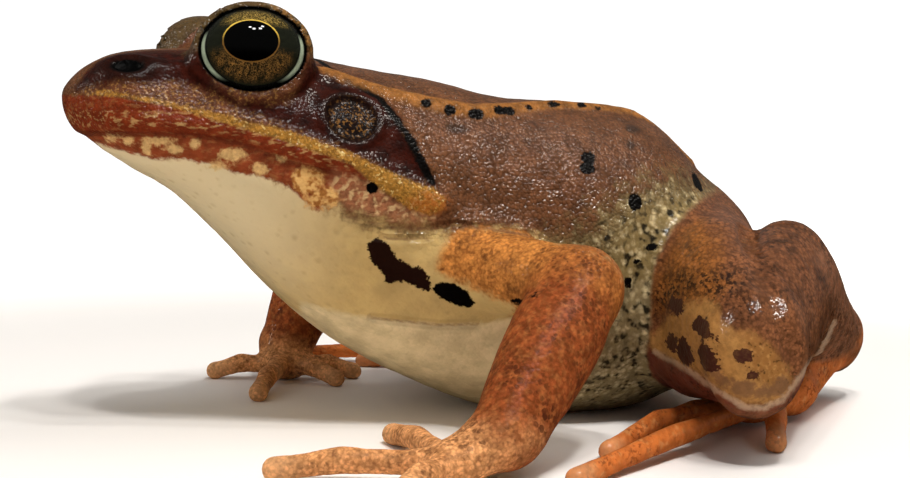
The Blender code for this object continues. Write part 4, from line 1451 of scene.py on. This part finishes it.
def colour_legs(tone, looks):
    """Brown hind limbs with dark flecks, the patterned thigh and the orange toes."""
    legs = tone.within("hind", 0.35, 0.2)
    shank = tone.times(legs, tone.within("shank", 0.12, 0.05))
    thigh = tone.maths("SUBTRACT", legs, shank)
    foot = tone.times(legs, tone.within("foot", 0.4, 0.3))
    cluster = tone.step(tone.noise(1.7, 3.0), 0.42, 0.62)
    tone.lay(tone.varied(looks.leg, 1.7, 0.4, 0.8), legs)
    tone.lay(tone.varied("8A5426", 0.9, 0.3, 0.8), thigh, tone.within("thigh_front", 0.9, 0.4))
    tone.lay(tone.varied(tint(looks.leg, 0.7), 1.2, 0.45, 0.8), shank)
    tone.lay("8A5434", shank, tone.flecks(0.5, 0.42, 0.14), 0.5)
    # Painted shade darkens the hollows between the granules.
    tone.lay(tint(looks.leg, 0.3), legs, tone.net(), 0.5)
    patch = tone.times(thigh, tone.within("thigh_patch", 0.3, 0.4, 0.3))
    tone.lay(tone.varied("A0723E", 0.4, 0.18, 0.9), patch)
    knee = tone.times(thigh, tone.within("knee_brown", 0.5, 0.4))
    tone.lay("7E5228", knee, tone.flecks(0.34, 0.6, 0.14), 0.75)
    tone.lay("1C0E08", knee, tone.flecks(0.3, 0.36, 0.06), 0.7)
    tone.lay(tone.varied("6A3828", 1.4, 0.25), thigh, tone.within("underside", 0.25, 0.1))
    tone.lay(tone.varied("704830", 0.8, 0.35, 0.6), shank, tone.within("underside", 0.25, 0.1))
    bare = tone.without(patch)
    tone.lay("1C110A", legs, bare, cluster, tone.flecks(0.28, 0.44, 0.08), 0.6)
    tone.lay("140C08", thigh, tone.within("speckled", 0.6, 0.4), tone.flecks(0.26, 0.46, 0.06), 0.85)
    tone.lay("6A4A34", thigh, tone.within("thigh_shade", 0.2, 0.4, 0.3), 0.8)
    tone.lay("3E2018", thigh, tone.within("thigh_ink", 0.04, 0.24, 0.26))
    tone.lay("D0B494", legs, tone.within("leg_line", 0.12, 0.14, 0.1, inset=0.06), 0.4)
    tone.lay(tone.varied(looks.toe, 0.7, 0.2, 0.5), foot)
    tone.lay("D8A468", foot, tone.flecks(0.5, 0.36, 0.14), 0.35)
    tone.lay("5A2410", foot, cluster, tone.flecks(0.24, 0.44, 0.08), 0.6)
    # Pale ends of the toes: partly their own colour, partly painted light that brightens a toe the knee
    # shades.
    tone.lay("E0B080", foot, tone.step("tip", -1.2, 0.8), 0.35)


def colour_head(tone, looks):
    """Mask, snout side, lips, lip stripe and eardrum."""
    tone.lay(tone.varied(looks.lore, 0.7, 0.35), tone.within("head_side", 0.3, 0.15))
    gilt = tone.times(tone.within("head_side", 0.3), tone.step("lip_above", 6.0, 2.5))
    tone.lay("A87A3C", gilt, tone.flecks(0.2, 0.42, 0.1), 0.45)
    tone.lay(tone.varied(looks.mask, 0.9, 0.6), tone.within("mask", 0.4, 0.35, 0.15))
    tone.lay(looks.ink, tone.within("mask_edge", 0.12, 0.15, 0.1))
    tone.lay(tone.varied(looks.ink, 0.5, 0.5), tone.within("drum", 0.3, 0.15, 0.1, most=0.8))
    tone.lay("7A5224", tone.within("drum_gold", 0.5), tone.flecks(0.2, 0.42, 0.07), 0.7)
    tone.lay(tone.varied(looks.jaw, 0.8, 0.25), tone.within("jaw", 0.12, 0.2, 0.12))
    tone.lay(tone.varied(looks.lip, 0.8, 0.25), tone.within("lip", 0.12, 0.1))
    lip = tone.maths("MAXIMUM", tone.within("lip", 0.2), tone.within("jaw", 0.2))
    streaks = tone.step(tone.drawn_out((0.22, 1.1, 0.22)), 0.5, 0.68)
    tone.lay("B08850", lip, streaks, 0.15)
    low = tone.times(tone.step("lip_above", 0.2, 0.5), tone.step("lip_above", 1.5, 1.0))
    tone.lay("C0A066", tone.within("lip", 0.1), low, streaks, 0.35)
    tone.lay(tone.varied("8E5A3C", 0.6, 0.35), tone.within("cheek", 0.4, 0.4, 0.2, most=0.75))
    tone.lay("D0B07C", tone.within("cheek", 0.4), tone.flecks(0.45, 0.42, 0.1), 0.6)
    tone.lay(tone.varied("C09C64", 0.4, 0.25), tone.within("cream", 0.14, 0.3, 0.2, most=0.8))
    gold = tone.within("gold", 0.2, 0.3, 0.2, most=0.85)
    tone.lay(tone.varied("A06830", 0.4, 0.3), gold)
    tone.lay("D0A868", gold, tone.flecks(0.4, 0.5, 0.1), 0.8)
    stripe = tone.within("stripe", 0.14, 0.14, 0.1, inset=0.04)
    tone.lay(tone.varied(tint(looks.stripe, 0.75), 0.6, 0.3), stripe)
    tone.lay(tint(looks.stripe, 1.35), stripe, tone.flecks(0.2, 0.46, 0.1), 0.8)
    tone.lay("D8BC78", stripe, tone.flecks(0.26, 0.36, 0.06), 0.6)
    tone.lay("9A5420", tone.within("gland", 0.3, 0.2, 0.1), tone.flecks(0.3, 0.6, 0.15), 0.7)
    tone.lay("3A1208", tone.within("mouth", 0.08), 0.5)
    # Painted shade of the nostril's hole: black in the pit and dark brown round its rim.
    tone.lay("1A0A06", tone.within("nostril", 0.4, 0.2, inset=-0.6, most=0.7))
    tone.lay("010101", tone.within("nostril", 0.1, inset=-0.1, fine=0.02))
    lid = tone.times(tone.step("lid", -1.1, -0.7), tone.step("lid_up", -0.6, 0.6))
    tone.lay(tone.varied("4A3A20", 0.4, 0.3), lid, 0.9)
    tone.lay("9A6A34", lid, tone.step("lid_rear", -0.5, 2.4), tone.flecks(0.3, 0.5, 0.12), 0.6)
    tone.lay("0A0705", tone.step("lid", -0.14, -0.02))


def colour_spots(tone, looks):
    """Folds along the back, the black and grey spots, and painted shade along the creases."""
    fold = tone.within("fold", 0.3, 0.25, most=0.95)
    tone.lay(tone.varied(looks.fold, 0.6, 0.35), fold)
    tone.lay(looks.ink, tone.within("fold_ink", 0.06, fine=0.12))
    tone.lay("241A14", tone.within("grey", 0.15, 0.15, most=0.7))
    # Painted shade: a thin brown line darkens each crease.
    tone.lay("6A4A34", tone.step("crease", -0.05, 0.08), 0.6)
    tone.lay("1E0C06", tone.within("chest_ink", 0.08, 0.18, 0.22))
    tone.lay(looks.ink, tone.within("arm_ink", 0.06, 0.1, 0.12))
    tone.lay(looks.ink, tone.within("ink", 0.05, 0.08, 0.1))


def skin_height(tone):
    """The skin's fine relief in millimetres: round granules, grit and wrinkles."""
    sunk = tone.times(tone.granules["Distance"], tone.granules["Distance"])
    smooth = tone.maths("MAXIMUM", tone.step("brown", 0.5, -1.5, 0.75), tone.within("mask", 0.6, most=0.7))
    rough = tone.without(smooth)
    height = tone.times(sunk, rough, tone.maths("ADD", tone.within("fore", 0.6, most=-0.03), -0.075))
    height = tone.maths("ADD", height, tone.times(tone.noise(0.14, 1.0), rough, 0.01))
    height = tone.maths("ADD", height, tone.times(tone.noise(1.1, 1.0), 0.07))
    # Wrinkles run up and back over the shoulder.
    lines = tone.drawn_out((0.8, 2.6, 0.32), slope=-24)
    wrinkle = tone.times(lines, tone.step("wrinkled", -0.8, 1.2), 0.14)
    height = tone.maths("ADD", height, wrinkle)
    return tone.maths("SUBTRACT", height, tone.times(tone.step("crease", -0.3, 0.06), 0.22))


class FROG_OT_eyes(bpy.types.Operator):
    """Makes the two eyeballs, each with its iris and pupil under a wet cornea"""

    bl_idname = "frog.eyes"
    bl_label = "Eyes"

    def execute(self, context):
        material = eye_material(context.scene.frog_eye)
        eyes = []
        for name, side in (("eye_left", 1.0), ("eye_right", -1.0)):
            eye = add_mesh("uv_sphere", name + "_wet", segments=96, ring_count=64, radius=1.0)
            places = read_points(eye.data) * MM
            offsets = places * array(EYE_SIZE)
            points = (array(EYE_CENTRE) + offsets @ eye_axes()) * array((side, 1.0, 1.0))
            write_points(eye.data, points)
            # The eye's axes are left-handed, which turns the left eyeball inside out.
            if side > 0:
                eye.data.flip_normals()
            bpy.ops.object.shade_smooth()
            for key, values in iris_fields(offsets).items():
                write_field(eye.data, key, values)
            eye.data.materials.append(material)
            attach(eye, "root")
            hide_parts(name)
            eyes.append(eye)
        shade_from_gloss(eyes)
        return {"FINISHED"}


def shade_from_gloss(pieces):
    """Keeps the gloss lamps off pieces, which then mirror the key's four lamps alone."""
    shaded = bpy.data.collections.new("shaded from the gloss lamps")
    for number, piece in enumerate(pieces):
        shaded.objects.link(piece)
        shaded.collection_objects[number].light_linking.link_state = "EXCLUDE"
    for lamp in bpy.data.objects:
        if lamp.name.startswith("gloss_"):
            lamp.light_linking.receiver_collection = shaded


def inside_oval(offsets, centre, size):
    """How far inside an oval on the eyeball's front each place lies, mm."""
    around = np.hypot((offsets[:, 0] - centre[0]) / size[0], (offsets[:, 1] - centre[1]) / size[1])
    return (1 - around) * size[1] - np.where(offsets[:, 2] > 0, 0.0, 9.0)


def iris_fields(offsets):
    """Fields over the eyeball: mm inside its ovals, height, and the iris's radial streaks."""
    way = offsets[:, :2] - array(PUPIL_CENTRE)
    size = np.maximum(length_of(way), 1e-6)
    return {
        "pupil": inside_oval(offsets, PUPIL_CENTRE, PUPIL_SIZE),
        "iris": inside_oval(offsets, (0.0, IRIS_RISE), IRIS_SIZE),
        "opening": inside_oval(offsets, (0.0, 0.0), EYE_OPENING),
        "up": offsets[:, 1],
        "behind": -offsets[:, 0],
        "streak": np.stack([way[:, 0] / size * 3.0, way[:, 1] / size * 3.0, size], axis=1),
    }


def eye_material(looks):
    """A wet eyeball: a polished clear cornea, under it a black pupil in a bronze iris."""
    material, tree, shader = new_material("wet cornea over bronze iris", {
        "Roughness": 0.3,
        "Specular IOR Level": 0.0,
        "Coat Weight": 0.35,
        "Coat Roughness": 0.01,
        "Coat IOR": 1.376,
    })
    tone = Pigment(tree)
    tone.colour = tone.between(tone.coarse, "040404", "0C0D0B")
    # The pale edge of the eyeball shows as crescents before and behind the iris.
    outside = tone.times(tone.field("iris"), -1.0)
    pale = tone.times(tone.step(outside, 0.0, 0.08), tone.step("opening", 0.06, 0.14))
    low = tone.times(tone.step("up", 1.1, 0.3), tone.step("up", -2.1, -1.4))
    tone.lay(tone.varied(looks.rim, 0.5, 0.2), pale, low, 0.9)
    streak = add(tree, "ShaderNodeAttribute", attribute_name="streak").outputs["Vector"]
    rays = tone.texture("Noise", streak, 2.6, Detail=4.0, Roughness=0.7)["Fac"]
    ground = tone.between(rays, tint(looks.shade, 0.3), tint(looks.shade, 1.7))
    iris = tone.step("iris", -0.04, 0.08)
    tone.lay(ground, iris)
    # Gold grains gather above and below the pupil, and leave its sides dark.
    rise = tone.maths("SUBTRACT", tone.field("up"), PUPIL_CENTRE[1])
    above = tone.times(tone.step(rise, 0.8, 1.3), tone.step("behind", -2.3, -1.0))
    below = tone.step(rise, -0.2, -1.2, 0.85)
    near_iris = tone.times(iris, tone.step("iris", 0.0, 0.5))
    grains = tone.flecks(0.08, 0.5, 0.12)
    bronze = tone.between(tone.step(tone.fine, 0.35, 0.65), looks.bronze, tint(looks.bronze, 1.6))
    streaked = tone.times(below, tone.step(rays, 0.3, 0.6))
    tone.lay(bronze, grains, streaked, near_iris)
    tone.lay(tone.varied("8E7438", 0.2, 0.6), grains, above, near_iris, 0.85)
    ring = tone.maths("ABSOLUTE", tone.maths("ADD", tone.field("pupil"), 0.03))
    bright = tone.step(rise, -0.2, 0.9)
    gold = tone.between(bright, looks.bronze, looks.gold)
    tone.lay(gold, tone.step(tone.ragged(ring, 0.0, 0.03), 0.055, 0.02), 0.9)
    tone.lay("010101", tone.step("pupil", -0.03, 0.03))
    tone.lay("020202", tone.step("opening", 0.1, 0.02))
    tree.links.new(tone.colour, shader.inputs["Base Color"])
    return material


class FROG_PT_panel(bpy.types.Panel):
    """Lists the frog's pieces in the sidebar"""

    bl_label = "Wood frog"
    bl_idname = "FROG_PT_panel"
    bl_space_type = "VIEW_3D"
    bl_region_type = "UI"
    bl_category = "Frog"

    def draw(self, context):
        for operator in OPERATORS:
            self.layout.operator(operator.bl_idname)
        for group in (context.scene.frog_skin, context.scene.frog_eye, context.scene.frog_stage):
            for key in group.bl_rna.properties.keys():
                if key not in ("rna_type", "name"):
                    self.layout.prop(group, key)


OPERATORS = (FROG_OT_stage, FROG_OT_skin, FROG_OT_eyes)
CLASSES = (FrogSkinLooks, FrogEyeLooks, FrogStageLooks) + OPERATORS + (FROG_PT_panel,)


def register():
    for item in CLASSES:
        bpy.utils.register_class(item)
    bpy.types.Scene.frog_skin = PointerProperty(type=FrogSkinLooks)
    bpy.types.Scene.frog_eye = PointerProperty(type=FrogEyeLooks)
    bpy.types.Scene.frog_stage = PointerProperty(type=FrogStageLooks)


def unregister():
    del bpy.types.Scene.frog_skin
    del bpy.types.Scene.frog_eye
    del bpy.types.Scene.frog_stage
    for item in reversed(CLASSES):
        bpy.utils.unregister_class(item)


def main():
    register()
    for operator in OPERATORS:
        group, name = operator.bl_idname.split(".")
        getattr(getattr(bpy.ops, group), name)()


if __name__ == "__main__":
    main()
